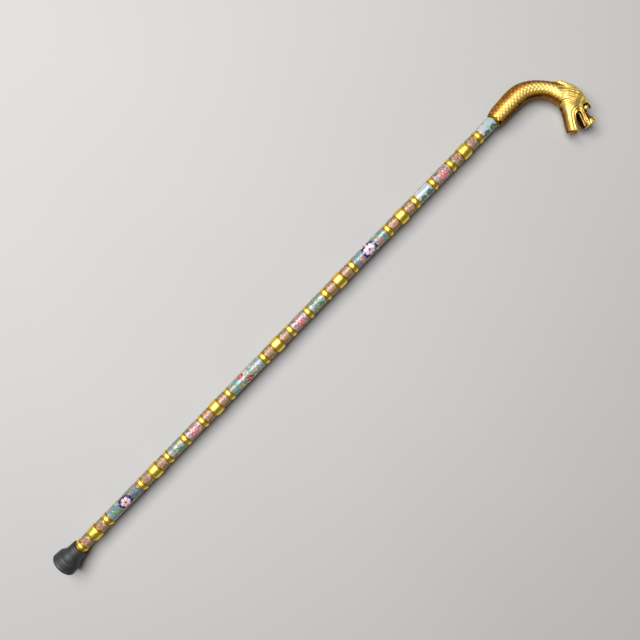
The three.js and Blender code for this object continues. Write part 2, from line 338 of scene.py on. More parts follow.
def climb(values: np.ndarray, start: float, width: float) -> np.ndarray:
    """Returns 0 up to a start and 1 from a width past it. With a width under zero it falls."""
    return np.clip((values - start) / width, 0, 1)


def circle(sides: int) -> np.ndarray:
    """Returns evenly spaced angles once round."""
    return np.arange(sides) * 2 * math.pi / sides


def store(mesh: bpy.types.Mesh, name: str, values: np.ndarray, kind: str = "FLOAT") -> None:
    """Stores values at a mesh's points as an attribute, over what it holds."""
    layer = mesh.attributes.get(name) or mesh.attributes.new(name, kind, "POINT")
    layer.data.foreach_set(ATTRIBUTE_PARTS[kind], np.asarray(values, np.float32).ravel())


def places_of(mesh: bpy.types.Mesh) -> np.ndarray:
    """Returns a mesh's points, in metres."""
    places = np.zeros(len(mesh.vertices) * 3, np.float32)
    mesh.vertices.foreach_get("co", places)
    return places.reshape(-1, 3)


def patina_of(mesh: bpy.types.Mesh) -> np.ndarray:
    """Returns the patina at a mesh's points, which is 0 where it has none."""
    values = np.zeros(len(mesh.vertices), np.float32)
    if "patina" in mesh.attributes:
        mesh.attributes["patina"].data.foreach_get("value", values)
    return values


def placed(name: str, data: bpy.types.ID) -> bpy.types.Object:
    """Returns a new object of some data, linked to the scene."""
    made = bpy.data.objects.new(name, data)
    bpy.context.scene.collection.objects.link(made)
    return made


def ring_faces(rows: int, sides: int, poles: bool) -> Faces:
    """Returns the faces between rows of points that go round.

    Args:
        rows: how many rows there are.
        sides: how many points each row has.
        poles: whether two more points close the first and the last row. Else the last row joins
            the first.

    Returns:
        The faces.
    """
    faces = []
    for row in range(rows - 1 if poles else rows):
        here, there = row * sides, (row + 1) % rows * sides
        for i in range(sides):
            j = (i + 1) % sides
            faces.append([here + i, here + j, there + j, there + i])
    if poles:
        first, last = rows * sides, (rows - 1) * sides
        for i in range(sides):
            j = (i + 1) % sides
            faces.append([first, j, i])
            faces.append([first + 1, last + i, last + j])
    return faces


class MeshDraft:
    """Vertices, faces and their attributes, gathered in millimetres for one piece."""

    def __init__(self) -> None:
        """Starts an empty draft."""
        self.points: list[np.ndarray] = []
        self.faces: list[list[int]] = []
        self.tints: list[np.ndarray] = []
        self.patinas: list[np.ndarray] = []
        self.count = 0

    def add(
        self,
        points: np.ndarray,
        faces: Sequence[Sequence[int]],
        tint: np.ndarray | Colour = (1.0, 1.0, 1.0),
        patina: np.ndarray | float = 0.0,
    ) -> MeshDraft:
        """Adds one closed body, with its faces turned outwards.

        Args:
            points: its vertices.
            faces: its faces, as numbers of vertices.
            tint: a colour for each vertex, or one for all.
            patina: how brown each vertex is, or one value for all.

        Returns:
            The draft itself.
        """
        points = np.asarray(points, float)
        loops = [list(face) for face in faces]
        corner = points - points.mean(0)
        volume = 0.0
        for size in {len(face) for face in loops}:
            same = np.array([face for face in loops if len(face) == size])
            for k in range(1, size - 1):
                a, b, c = corner[same[:, 0]], corner[same[:, k]], corner[same[:, k + 1]]
                volume += np.einsum("ij,ij->", a, np.cross(b, c))
        if volume < 0:
            loops = [face[::-1] for face in loops]
        self.faces.extend([i + self.count for i in face] for face in loops)
        self.points.append(points)
        self.tints.append(np.broadcast_to(np.asarray(tint, float), (len(points), 3)))
        self.patinas.append(np.broadcast_to(np.asarray(patina, float), (len(points),)))
        self.count += len(points)
        return self

    def mesh(self, name: str) -> bpy.types.Mesh:
        """Makes the mesh, in metres, with its tint and patina attributes.

        Args:
            name: the mesh's name.

        Returns:
            The new mesh.
        """
        made = bpy.data.meshes.new(name)
        made.from_pydata((np.vstack(self.points) * MM).tolist(), [], self.faces)
        tints = np.ones((self.count, 4), np.float32)
        tints[:, :3] = np.vstack(self.tints)
        store(made, "tint", tints, "FLOAT_COLOR")
        store(made, "patina", np.concatenate(self.patinas))
        made.update()
        return made


def lathe(profile: Sequence[Sequence[float]], axis: Axis, sides: int) -> tuple[np.ndarray, Faces]:
    """Turns a profile about the shaft's axis.

    Args:
        profile: points of a place along X and a radius. It closes on itself, unless its first
            and last points lie on the axis.
        axis: where the shaft's axis runs.
        sides: how many facets go round.

    Returns:
        The vertices and the faces.
    """
    poles = profile[0][1] == 0 and profile[-1][1] == 0
    rows = profile[1:-1] if poles else profile
    points = [axis.around(along, circle(sides), radius) for along, radius in rows]
    if poles:
        points += [axis.around(profile[k][0], np.zeros(1), 0.0) for k in (0, -1)]
    return np.vstack(points), ring_faces(len(rows), sides, poles)


def round_corners(profile: Sequence[tuple[float, ...]], steps: int) -> list[tuple[float, float]]:
    """Rounds a closed profile's corners with short curves.

    Args:
        profile: points of a place along X, a radius and how far the rounding reaches.
        steps: pieces in each rounding.

    Returns:
        The finer profile.
    """
    made = []
    count = len(profile)
    for i, (along, radius, reach) in enumerate(profile):
        here = np.array([along, radius])
        if reach == 0 or radius == 0:
            made.append((along, radius))
            continue
        ends = []
        for way in (-1, 1):
            towards = np.array(profile[(i + way) % count][:2]) - here
            ends.append(here + towards * min(0.45, reach / max(np.linalg.norm(towards), 1e-9)))
        start, end = ends
        for t in np.arange(steps + 1) / steps:
            made.append(tuple((1 - t) ** 2 * start + 2 * t * (1 - t) * here + t * t * end))
    return made


@dataclass(frozen=True)
class Axis:
    """The shaft's axis, which runs along X."""

    y: float
    z: float

    def around(self, along: float | np.ndarray, turn: np.ndarray, radius: float | np.ndarray) -> np.ndarray:
        """Returns points round the axis.

        Args:
            along: places along X.
            turn: angles from the top towards -Y, in radians.
            radius: distances from the axis.

        Returns:
            The points, one row each.
        """
        turn = np.asarray(turn, float)
        columns = (along + 0 * turn, self.y - radius * np.sin(turn), self.z + radius * np.cos(turn))
        return np.column_stack(columns)


def finished(
    name: str,
    mesh: bpy.types.Mesh,
    finish: Finish,
    body: Body,
    nodes: Sequence[str] = (),
    sharp: float = 40.0,
) -> bpy.types.Object:
    """Turns a mesh into a piece of the cane that rides on its body.

    Args:
        name: the piece's name.
        mesh: its final mesh, in metres and in the row frame.
        finish: what it is made of.
        body: the body that it moves with.
        nodes: the construction nodes that it stands for.
        sharp: edges sharper than this many degrees stay crisp.

    Returns:
        The piece.
    """
    mesh.materials.clear()
    mesh.materials.append(finish.material())
    mesh.shade_smooth()
    mesh.set_sharp_from_angle(angle=math.radians(sharp))
    piece = placed(name, mesh)
    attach(piece, body.value)
    if nodes:
        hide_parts(*nodes)
    log.info("%s: %d faces on %s", name, len(mesh.polygons), body.value)
    return piece


class GeometryTree:
    """A Geometry Nodes tree with named inputs, run once on a host mesh."""

    def __init__(self, name: str, sockets: dict[str, str]) -> None:
        """Makes the tree with its input and output nodes.

        Args:
            name: the tree's name.
            sockets: the type of each input, by its name.
        """
        self.tree = bpy.data.node_groups.new(name, "GeometryNodeTree")
        face = self.tree.interface
        face.new_socket("Geometry", in_out="INPUT", socket_type="NodeSocketGeometry")
        for title, kind in {**sockets, "Finish": "NodeSocketMaterial"}.items():
            face.new_socket(title, in_out="INPUT", socket_type=kind)
        face.new_socket("Geometry", in_out="OUTPUT", socket_type="NodeSocketGeometry")
        self.wiring = Wiring(self.tree)
        self.given = self.wiring.add("NodeGroupInput").outputs

    def close(self, result: Socket) -> None:
        """Realizes the result, gives it its finish and joins it to the output.

        Args:
            result: the geometry that the tree made.
        """
        real = self.wiring.add("GeometryNodeRealizeInstances", {"Geometry": result}).outputs[0]
        inputs = {"Geometry": real, "Material": self.given["Finish"]}
        dressed = self.wiring.add("GeometryNodeSetMaterial", inputs).outputs[0]
        self.wiring.add("NodeGroupOutput", {"Geometry": dressed})

    def named(self, name: str, kind: str = "FLOAT") -> Socket:
        """Returns the socket of an attribute of the host."""
        node = self.wiring.add("GeometryNodeInputNamedAttribute", {"Name": name}, data_type=kind)
        return node.outputs[0]

    def stud(self, points: Socket, turned: dict[str, Socket], size: Socket) -> None:
        """Sets the input called Shape on points and closes the tree.

        Args:
            points: the points.
            turned: where two of the shape's axes point, by their letters, the first one exactly.
            size: the shape's scale.
        """
        (first, ahead), (second, beside) = turned.items()
        ways = {"Primary Axis": ahead, "Secondary Axis": beside}
        kind = "FunctionNodeAxesToRotation"
        spin = self.wiring.add(kind, ways, primary_axis=first, secondary_axis=second).outputs[0]
        source = self.wiring.add("GeometryNodeObjectInfo", {"Object": self.given["Shape"]})
        shape = source.outputs["Geometry"]
        inputs = {"Points": points, "Instance": shape, "Rotation": spin, "Scale": size}
        self.close(self.wiring.add("GeometryNodeInstanceOnPoints", inputs).outputs[0])

    def run(self, host: bpy.types.Mesh, values: dict[str, object]) -> bpy.types.Mesh:
        """Runs the tree on a host mesh.

        Args:
            host: the mesh that the tree starts from.
            values: a value for each named input.

        Returns:
            The result as a plain mesh.
        """
        carrier = placed(host.name + "_host", host)
        modifier = carrier.modifiers.new("tree", "NODES")
        modifier.node_group = self.tree
        for item in self.tree.interface.items_tree:
            if item.in_out == "INPUT" and item.name in values:
                modifier[item.identifier] = values[item.name]
        bpy.context.view_layer.update()
        depsgraph = bpy.context.evaluated_depsgraph_get()
        made = bpy.data.meshes.new_from_object(carrier.evaluated_get(depsgraph))
        carrier.modifiers.remove(modifier)
        bpy.data.objects.remove(carrier)
        return made

    def run_studded(self, host: bpy.types.Mesh, shape: MeshDraft, **values: object) -> bpy.types.Mesh:
        """Runs the tree on a host mesh with a cast shape for its input called Shape.

        Args:
            host: the mesh that the tree starts from.
            shape: the shape. Its object is removed afterwards.
            **values: a value for each other named input.

        Returns:
            The result as a plain mesh.
        """
        loose = placed("loose_shape", shape.mesh("loose_shape"))
        made = self.run(host, {**values, "Shape": loose, "Finish": CAST_GILT.material()})
        bpy.data.objects.remove(loose)
        return made


def lines_mesh(name: str, lines: Sequence[tuple[np.ndarray, bool, float | np.ndarray]]) -> bpy.types.Mesh:
    """Makes a mesh of bare edges that a tree turns into curves.

    Args:
        name: the mesh's name.
        lines: for each line its points in millimetres, whether it closes, and its girth.

    Returns:
        The mesh, with the girth of each point as an attribute, in metres.
    """
    points, edges, girths = [], [], []
    start = 0
    for path, closed, girth in lines:
        count = len(path)
        points.append(path)
        girths.append(np.broadcast_to(np.asarray(girth, float), (count,)))
        edges += [(start + i, start + i + 1) for i in range(count - 1)]
        if closed:
            edges.append((start + count - 1, start))
        start += count
    mesh = bpy.data.meshes.new(name)
    mesh.from_pydata((np.vstack(points) * MM).tolist(), edges, [])
    store(mesh, "girth", np.concatenate(girths) * MM)
    return mesh


def swept_tree(name: str, bend: bool) -> GeometryTree:
    """Makes the tree that sweeps a round section along each line of its host.

    Args:
        name: the tree's name.
        bend: whether the lines are drawn flat and are bent round the shaft's axis first.

    Returns:
        The tree. Its inputs are Sides and, where it bends, Radius, Axis Y and Axis Z.
    """
    sockets = {"Sides": "NodeSocketInt"}
    if bend:
        sockets |= {key: "NodeSocketFloat" for key in ("Radius", "Axis Y", "Axis Z")}
    tree = GeometryTree(name, sockets)
    wiring, given = tree.wiring, tree.given
    curve = wiring.add("GeometryNodeMeshToCurve", {"Mesh": given["Geometry"]}).outputs[0]
    if bend:
        place = wiring.add("GeometryNodeInputPosition").outputs[0]
        along, round_it, over = wiring.add("ShaderNodeSeparateXYZ", {0: place}).outputs[:3]
        turn = wiring.math("DIVIDE", round_it, given["Radius"])
        reach = wiring.math("ADD", given["Radius"], over)
        aside = wiring.math("MULTIPLY", reach, wiring.math("SINE", turn))
        up = wiring.math("MULTIPLY", reach, wiring.math("COSINE", turn))
        y, z = wiring.math("SUBTRACT", given["Axis Y"], aside), wiring.math("ADD", given["Axis Z"], up)
        bent = wiring.add("ShaderNodeCombineXYZ", {0: along, 1: y, 2: z}).outputs[0]
        curve = wiring.add("GeometryNodeSetPosition", {"Geometry": curve, "Position": bent}).outputs[0]
    ring = wiring.add("GeometryNodeCurvePrimitiveCircle", {"Resolution": given["Sides"], "Radius": 1.0})
    inputs = {"Curve": curve, "Profile Curve": ring.outputs[0], "Scale": tree.named("girth")}
    tree.close(wiring.add("GeometryNodeCurveToMesh", {**inputs, "Fill Caps": True}).outputs[0])
    return tree


# Cloisonne drawing: every motif is drawn flat, in millimetres, and bent round its bead


def petal(length: float, width: float, points: int = 18) -> Outline:
    """Returns a petal's outline, from its root at the origin to its round end along X."""
    t = circle(points)
    x = length * (1 - np.cos(t)) / 2
    return np.column_stack([x, width / 2 * np.sin(t) * (0.45 + 0.75 * x / length)])


def leaf(length: float, width: float, bow: float, points: int = 9) -> Outline:
    """Returns a pointed leaf's outline, from its stalk at the origin along X, bowed sideways."""
    t = np.linspace(0, 1, points)
    spine = bow * np.sin(math.pi * t)
    half = width / 2 * np.sin(math.pi * t) ** 0.8
    there = np.column_stack([length * t, spine + half])
    back = np.column_stack([length * t, spine - half])[-2:0:-1]
    return np.vstack([there, back])


def lobed(radius: float, lobes: int, depth: float, points: int) -> Outline:
    """Returns a scalloped round outline about the origin."""
    t = circle(points)
    reach = radius * (1 - depth + depth * np.abs(np.sin(lobes * t / 2)))
    return np.column_stack([reach * np.cos(t), reach * np.sin(t)])


def spiral(radius: float, turns: float, points: int) -> Outline:
    """Returns a curl's line, which winds out from the origin and ends on the X axis."""
    t = np.linspace(0.12, 1, points)
    angle = (t - 1) * turns * 2 * math.pi
    return np.column_stack([radius * t * np.cos(angle), radius * t * np.sin(angle)])


@dataclass
class Drawing:
    """Enamel cells and gilt wires, drawn flat in millimetres."""

    cells: list[tuple[Outline, Colour, Colour, int]] = field(default_factory=list)
    wires: list[tuple[Outline, bool]] = field(default_factory=list)

    def cell(self, outline: Outline, edge: Colour, heart: Colour, layer: int) -> None:
        """Adds a cell of enamel with its wire. A cell of a higher layer lies over a lower one."""
        self.cells.append((outline, edge, heart, layer))
        self.wires.append((outline, True))

    def take(self, other: Drawing, u: float, v: float, turn: float) -> None:
        """Adds another drawing, turned and moved.

        Args:
            other: what to add.
            u: its place along the bead.
            v: its place round the bead.
            turn: its turn in degrees.
        """
        angle = math.radians(turn)
        spin = np.array([[math.cos(angle), math.sin(angle)], [-math.sin(angle), math.cos(angle)]])
        self.cells += [(line @ spin + (u, v), *rest) for line, *rest in other.cells]
        self.wires += [(line @ spin + (u, v), closed) for line, closed in other.wires]

    def inlay(self, outline: Outline, colours: tuple[Colour, Colour], layer: int, *place: float) -> None:
        """Adds a cell drawn about the origin, turned and moved.

        Args:
            outline: its closed outline.
            colours: its colours along the wire and in the middle.
            layer: a higher cell lies over a lower one.
            *place: its place along and round the bead and its turn in degrees.
        """
        one = Drawing()
        one.cell(outline, *colours, layer)
        self.take(one, *place)


@dataclass(frozen=True)
class Palette:
    """The enamel colours of one kind of bead."""

    ground: Colour
    ground_end: Colour
    petal_edge: Colour
    petal_heart: Colour
    eye: Colour
    leaf_edge: Colour
    leaf_heart: Colour
    accent: Colour


@dataclass(frozen=True)
class Motif:
    """One thing drawn on a bead, with the room that it takes."""

    reach: float

    def draw(self, palette: Palette) -> Drawing:
        """Returns the motif drawn about the origin."""
        raise NotImplementedError


@dataclass(frozen=True)
class Blossom(Motif):
    """An open flower with petals round an eye, on a scalloped cloud if it has one."""

    petals: int = 5
    edge: Colour | None = None
    heart: Colour | None = None
    eye: Colour | None = None
    cloud: Colour | None = None

    def draw(self, palette: Palette) -> Drawing:
        """Returns the flower drawn about the origin."""
        drawing = Drawing()
        size = self.reach
        if self.cloud:
            backing = lobed(size, 9, 0.17, 90)
            drawing.cell(backing, self.cloud, self.cloud, 1)
            size *= 0.66
        colours = self.edge or palette.petal_edge, self.heart or palette.petal_heart
        width = 2 * size * math.tan(math.pi / self.petals) * 0.68
        one = petal(size * 0.86, width) + (size * 0.14, 0)
        for i in range(self.petals):
            drawing.inlay(one, colours, 2, 0, 0, i * 360 / self.petals)
        eye = self.eye or palette.eye
        drawing.cell(lobed(size * 0.2, 6, 0.1, 12), eye, eye, 3)
        return drawing


@dataclass(frozen=True)
class Sprig(Motif):
    """A short stem with leaves on both sides and a bud at its end."""

    leaves: int = 4
    bud: bool = True

    def draw(self, palette: Palette) -> Drawing:
        """Returns the sprig drawn about the origin."""
        drawing = Drawing()
        length = self.reach * 1.9
        t = np.linspace(-0.5, 0.5, 12)
        stem = np.column_stack([length * t, 0.16 * length * np.sin(2 * math.pi * t)])
        drawing.wires.append((stem, False))
        blade = leaf(self.reach * 0.8, self.reach * 0.36, self.reach * 0.08)
        for i in range(self.leaves):
            root = stem[int((i + 0.5) / self.leaves * (len(stem) - 1))]
            drawing.inlay(blade, (palette.leaf_edge, palette.leaf_heart), 1, *root, 48 if i % 2 else -48)
        if self.bud:
            bud = petal(self.reach * 0.62, self.reach * 0.5)
            drawing.inlay(bud, (palette.petal_edge, palette.petal_heart), 2, *stem[-1], 20)
        return drawing


@dataclass(frozen=True)
class Scroll(Motif):
    """A curling cloud scroll, filled with the accent colour at its heart."""

    def draw(self, palette: Palette) -> Drawing:
        """Returns the scroll drawn about the origin."""
        drawing = Drawing()
        radius = self.reach * 0.62
        colours = palette.accent, palette.leaf_heart
        drawing.cell(lobed(radius * 1.02, 5, 0.16, 30), *colours, 1)
        tail = leaf(self.reach * 1.1, self.reach * 0.4, self.reach * 0.22)
        drawing.inlay(tail, colours, 1, radius * 0.7, 0, 40)
        drawing.wires.append((spiral(radius, 1.35, 22), False))
        return drawing


@dataclass(frozen=True)
class Curl(Motif):
    """A pair of small wire curls that hold the ground enamel."""

    def draw(self, palette: Palette) -> Drawing:
        """Returns the curls drawn about the origin."""
        drawing = Drawing()
        line = spiral(self.reach * 0.55, 1.1, 12)
        for side in (0, 180):
            one = Drawing()
            one.wires.append((line - (self.reach * 0.5, 0), False))
            drawing.take(one, 0, 0, side)
        return drawing


@dataclass(frozen=True)
class Bare(Motif):
    """Ground enamel left plain."""

    def draw(self, palette: Palette) -> Drawing:
        """Returns an empty drawing."""
        return Drawing()


@dataclass(frozen=True)
class Placed:
    """A motif at its place on a bead."""

    motif: Motif
    along: float
    turn: float
    spin: float = 0.0


@dataclass(frozen=True)
class Pattern:
    """What one kind of enamel bead shows."""

    palette: Palette
    slot: Slot
    heroes: tuple[Placed, ...] = ()
    fillers: tuple[Motif, ...] = ()
    # Whether the ground is painted paler at the top and the bottom as a sheen and darker at the sides as
    # shade.
    panels: bool = False


@dataclass
class EnamelBead:
    """A metal tube covered in cloisonne enamel, with a gilt rim at each end."""

    node: str
    pattern: Pattern
    axis: Axis
    seed: int
    bore: float = CORE_BORE
    radius: float = 8.42
    rim_width: float = 0.7
    rim_radius: float = 8.0
    root_drop: float = 0.15
    tube_step: float = 1.5
    shoulder: float = 1.1
    sides: int = 96
    wire_girth: float = 0.14
    layer_rise: float = 0.05
    cell_step: float = 1.1
    cell_root: float = -0.3
    cell_crown: float = 0.02
    wire_height: float = 0.09
    crowding: float = 0.86
    clearance: float = 0.5
    patience: int = 120
    rim_brown: float = 0.35

    def __post_init__(self) -> None:
        """Takes the bead's place from its construction node."""
        self.start, self.end = span(self.node)
        self.random = np.random.default_rng(self.seed)
        self.glass, self.rims = MeshDraft(), MeshDraft()

    @property
    def length(self) -> float:
        """Returns the bead's length."""
        return self.end - self.start

    def add_tube(self) -> None:
        """Adds the enamelled tube, whose ground drifts from one colour to the other.

        The drift runs along the bead, or round it from the top and the bottom to the sides, where it is a
        painted sheen at the top and the bottom and painted shade at the sides.
        """
        first, last = self.start + self.rim_width, self.end - self.rim_width
        root = self.rim_radius - self.root_drop
        profile = [(first, self.bore), (first, root)]
        for lean in np.arange(1, 6) / 5 * math.pi / 2:
            rise = (self.radius - root) * math.sin(lean)
            profile.append((first + self.shoulder * (1 - math.cos(lean)), root + rise))
        straight = last - first - 2 * self.shoulder
        steps = max(2, round(straight / self.tube_step))
        middle = [(first + self.shoulder + straight * k / steps, self.radius) for k in range(1, steps)]
        mirrored = [(first + last - x, r) for x, r in reversed(profile)]
        points, faces = lathe(profile + middle + mirrored, self.axis, self.sides)
        share = (points[:, 0] - self.start) / self.length
        # Painted sheen and shade: the ground is paler at the top and the bottom and darker at the sides.
        if self.pattern.panels:
            turn = np.arctan2(self.axis.y - points[:, 1], points[:, 2] - self.axis.z)
            share = 0.7 - 0.9 * np.cos(2 * turn)
        wave = share + 0.12 * np.sin(points[:, 1] * 0.9 + self.seed) + 0.08 * np.sin(points[:, 2] * 1.3)
        blend = np.clip(wave, 0, 1)[:, None]
        palette = self.pattern.palette
        tint = (1 - blend) * np.array(palette.ground) + blend * np.array(palette.ground_end)
        self.glass.add(points, faces, tint=tint)

    def layout(self) -> Drawing:
        """Places the motifs: the ones that the pattern names, then others wherever they fit.

        Returns:
            The whole drawing, in places along and round the bead.
        """
        drawing = Drawing()
        girth = 2 * math.pi * self.radius
        taken: list[tuple[float, float, float]] = []
        for one in self.pattern.heroes:
            v = math.radians(one.turn) * self.radius
            drawing.take(one.motif.draw(self.pattern.palette), one.along, v, one.spin)
            taken.append((one.along, v, one.motif.reach))
        margin = self.rim_width + self.clearance
        for motif in (*self.pattern.fillers, Curl(1.25)):
            misses = 0
            while misses < self.patience:
                u = self.random.uniform(margin + motif.reach, self.length - margin - motif.reach)
                v = self.random.uniform(0, girth)
                spin = self.random.uniform(0, 360)
                if self.fits(u, v, motif.reach, taken):
                    drawing.take(motif.draw(self.pattern.palette), u, v, spin)
                    taken.append((u, v, motif.reach))
                    misses = 0
                else:
                    misses += 1
        return drawing

    def fits(self, u: float, v: float, reach: float, taken: list[tuple[float, float, float]]) -> bool:
        """Returns whether a motif's circle clears the ones that are placed.

        Args:
            u: its place along the bead.
            v: its place round the bead.
            reach: its radius.
            taken: the places and radii of the others.
        """
        girth = 2 * math.pi * self.radius
        for other_u, other_v, other_reach in taken:
            apart = abs(v - other_v) % girth
            apart = min(apart, girth - apart)
            if math.hypot(u - other_u, apart) < (reach + other_reach) * self.crowding:
                return False
        return True

    def add_cell(self, outline: Outline, edge: Colour, heart: Colour, layer: int) -> None:
        """Adds one cell of enamel, sunk into the tube and domed a little.

        Args:
            outline: its closed outline, drawn flat.
            edge: its colour along the wire.
            heart: its colour in the middle.
            layer: a higher cell lies over a lower one.
        """
        centre = outline.mean(0)
        spokes = outline - centre
        rings = max(2, math.ceil(np.linalg.norm(spokes, axis=1).max() / self.cell_step))
        lift = self.layer_rise * layer
        shares = np.array([1.0, *(1 - np.arange(rings) / rings)])
        points = [self.bend(outline, self.cell_root)]
        for share in shares[1:]:
            points.append(self.bend(centre + spokes * share, lift + self.cell_crown * (1 - share)))
        points += [self.bend(centre[None], height) for height in (self.cell_root, lift + self.cell_crown)]
        blend = np.array([*np.repeat(shares, len(outline)), 1.0, 0.0])[:, None] ** 1.6
        tint = blend * np.array(edge) + (1 - blend) * np.array(heart)
        faces = ring_faces(rings + 1, len(outline), True)
        self.glass.add(np.vstack(points), faces, tint=tint * self.random.uniform(0.9, 1.08))

    def bend(self, flat: np.ndarray, height: float) -> np.ndarray:
        """Bends flat points round the bead, at a height over its enamel."""
        return self.axis.around(self.start + flat[:, 0], flat[:, 1] / self.radius, self.radius + height)

    def add_rims(self) -> None:
        """Adds the gilt rim at each end."""
        width, radius = self.rim_width, self.rim_radius
        for start, way in ((self.start, 1), (self.end, -1)):
            corners = [(0, self.bore, 0), (0, radius, 0.25), (width, radius, 0.25), (width, self.bore, 0)]
            profile = [(start + way * along, reach) for along, reach in round_corners(corners, 3)]
            points, faces = lathe(profile, self.axis, self.sides)
            self.rims.add(points, faces, patina=self.rim_brown)

    def build(self, wires: GeometryTree) -> None:
        """Builds the enamelled tube and its gilt wires and rims.

        Args:
            wires: the tree that bends and thickens the wires.
        """
        self.add_tube()
        self.add_rims()
        drawing = self.layout()
        for cell in drawing.cells:
            self.add_cell(*cell)
        glass = self.glass.mesh(self.node)
        finished(self.node + "_enamel", glass, ENAMEL, Body.SHAFT, [self.node])
        lines = []
        for line, closed in drawing.wires:
            height = np.full(len(line), self.wire_height)
            flat = np.column_stack([line[:, 0] + self.start, line[:, 1], height])
            lines.append((flat, closed, self.wire_girth))
        sizes = {"Radius": self.radius * MM, "Axis Y": self.axis.y * MM, "Axis Z": self.axis.z * MM}
        host = lines_mesh(self.node + "_lines", lines)
        swept = wires.run(host, {"Sides": 4, "Finish": WIRE_GILT.material(), **sizes})
        joined = joined_mesh(self.node + "_wires", [swept, self.rims.mesh("rims")])
        finished(self.node + "_wires", joined, WIRE_GILT, Body.SHAFT)


def joined_mesh(name: str, meshes: Sequence[bpy.types.Mesh]) -> bpy.types.Mesh:
    """Joins plain meshes into one, keeping their patina.

    Args:
        name: the new mesh's name.
        meshes: what to join.

    Returns:
        The joined mesh.
    """
    faces = []
    start = 0
    for mesh in meshes:
        faces += [[i + start for i in polygon.vertices] for polygon in mesh.polygons]
        start += len(mesh.vertices)
    made = bpy.data.meshes.new(name)
    made.from_pydata(np.vstack([places_of(mesh) for mesh in meshes]).tolist(), [], faces)
    store(made, "patina", np.concatenate([patina_of(mesh) for mesh in meshes]))
    return made


# The plain turned pieces


@dataclass
class RubberTip:
    """The rubber tip: a flared foot with ring treads, a hollow shoulder and a long socket."""

    axis: Axis
    foot_radius: float = 18.0
    foot_height: float = 15.0
    neck_radius: float = 12.4
    mouth_radius: float = 11.7
    socket_radius: float = 8.5
    socket_floor: float = 9.0
    tread_radii: tuple[float, ...] = (6.5, 11.5)
    tread_depth: float = 1.4
    tread_width: float = 1.6
    sides: int = 128

    def profile(self) -> list[tuple[float, float, float]]:
        """Returns the tip's section, as places from the foot, radii and roundings."""
        foot, neck, mouth = self.foot_radius, self.neck_radius, self.mouth_radius
        first, last = span("rubber_tip")
        end = last - first
        corners = [(0.0, 0.0, 0.0)]
        for radius in self.tread_radii:
            inner, outer = radius - self.tread_width / 2, radius + self.tread_width / 2
            deep = self.tread_depth
            corners += [(0.0, inner, 0.3), (deep, inner, 0.3), (deep, outer, 0.3), (0.0, outer, 0.3)]
        corners += [(0.0, foot - 1.5, 0.6), (1.5, foot, 0.8), (5.0, foot - 0.2, 0.0)]
        corners += [(5.4, foot - 0.55, 0.2), (6.1, foot - 0.6, 0.2), (6.5, foot - 0.3, 0.2)]
        corners += [(self.foot_height - 1.5, foot - 1.0, 1.6)]
        for lean in np.arange(9) / 8 * math.pi / 2:
            out = (foot - 2.6 - neck) * (1 - math.sin(lean)) ** 1.4
            corners.append((self.foot_height + 7.0 * math.sin(lean), neck + out, 0.0))
        corners += [(end - 3.2, mouth + 0.15, 0.4), (end - 2.9, mouth - 0.2, 0.2)]
        corners += [(end - 2.5, mouth - 0.2, 0.2), (end - 2.2, mouth + 0.1, 0.3)]
        corners += [(end, mouth - 0.1, 0.5), (end, self.socket_radius, 0.4)]
        corners += [(self.socket_floor, self.socket_radius, 0.5), (self.socket_floor, 0.0, 0.0)]
        return corners

    def build(self) -> None:
        """Builds the tip, dusty at its foot and rubbed pale on its edges."""
        start, _ = span("rubber_tip")
        profile = [(start + along, radius) for along, radius in round_corners(self.profile(), 5)]
        points, faces = lathe(profile, self.axis, self.sides)
        along = points[:, 0] - start
        turn = np.arctan2(points[:, 1] - self.axis.y, points[:, 2] - self.axis.z)
        scuff = np.exp(-along / 2.5) * (0.6 + 0.4 * np.sin(5 * turn) * np.sin(3 * turn + 1))
        mesh = MeshDraft().add(points, faces, patina=np.clip(scuff, 0, 1)).mesh("rubber_tip")
        finished("rubber_ferrule", mesh, BLACK_RUBBER, Body.TIP, ["rubber_tip"], sharp=50)


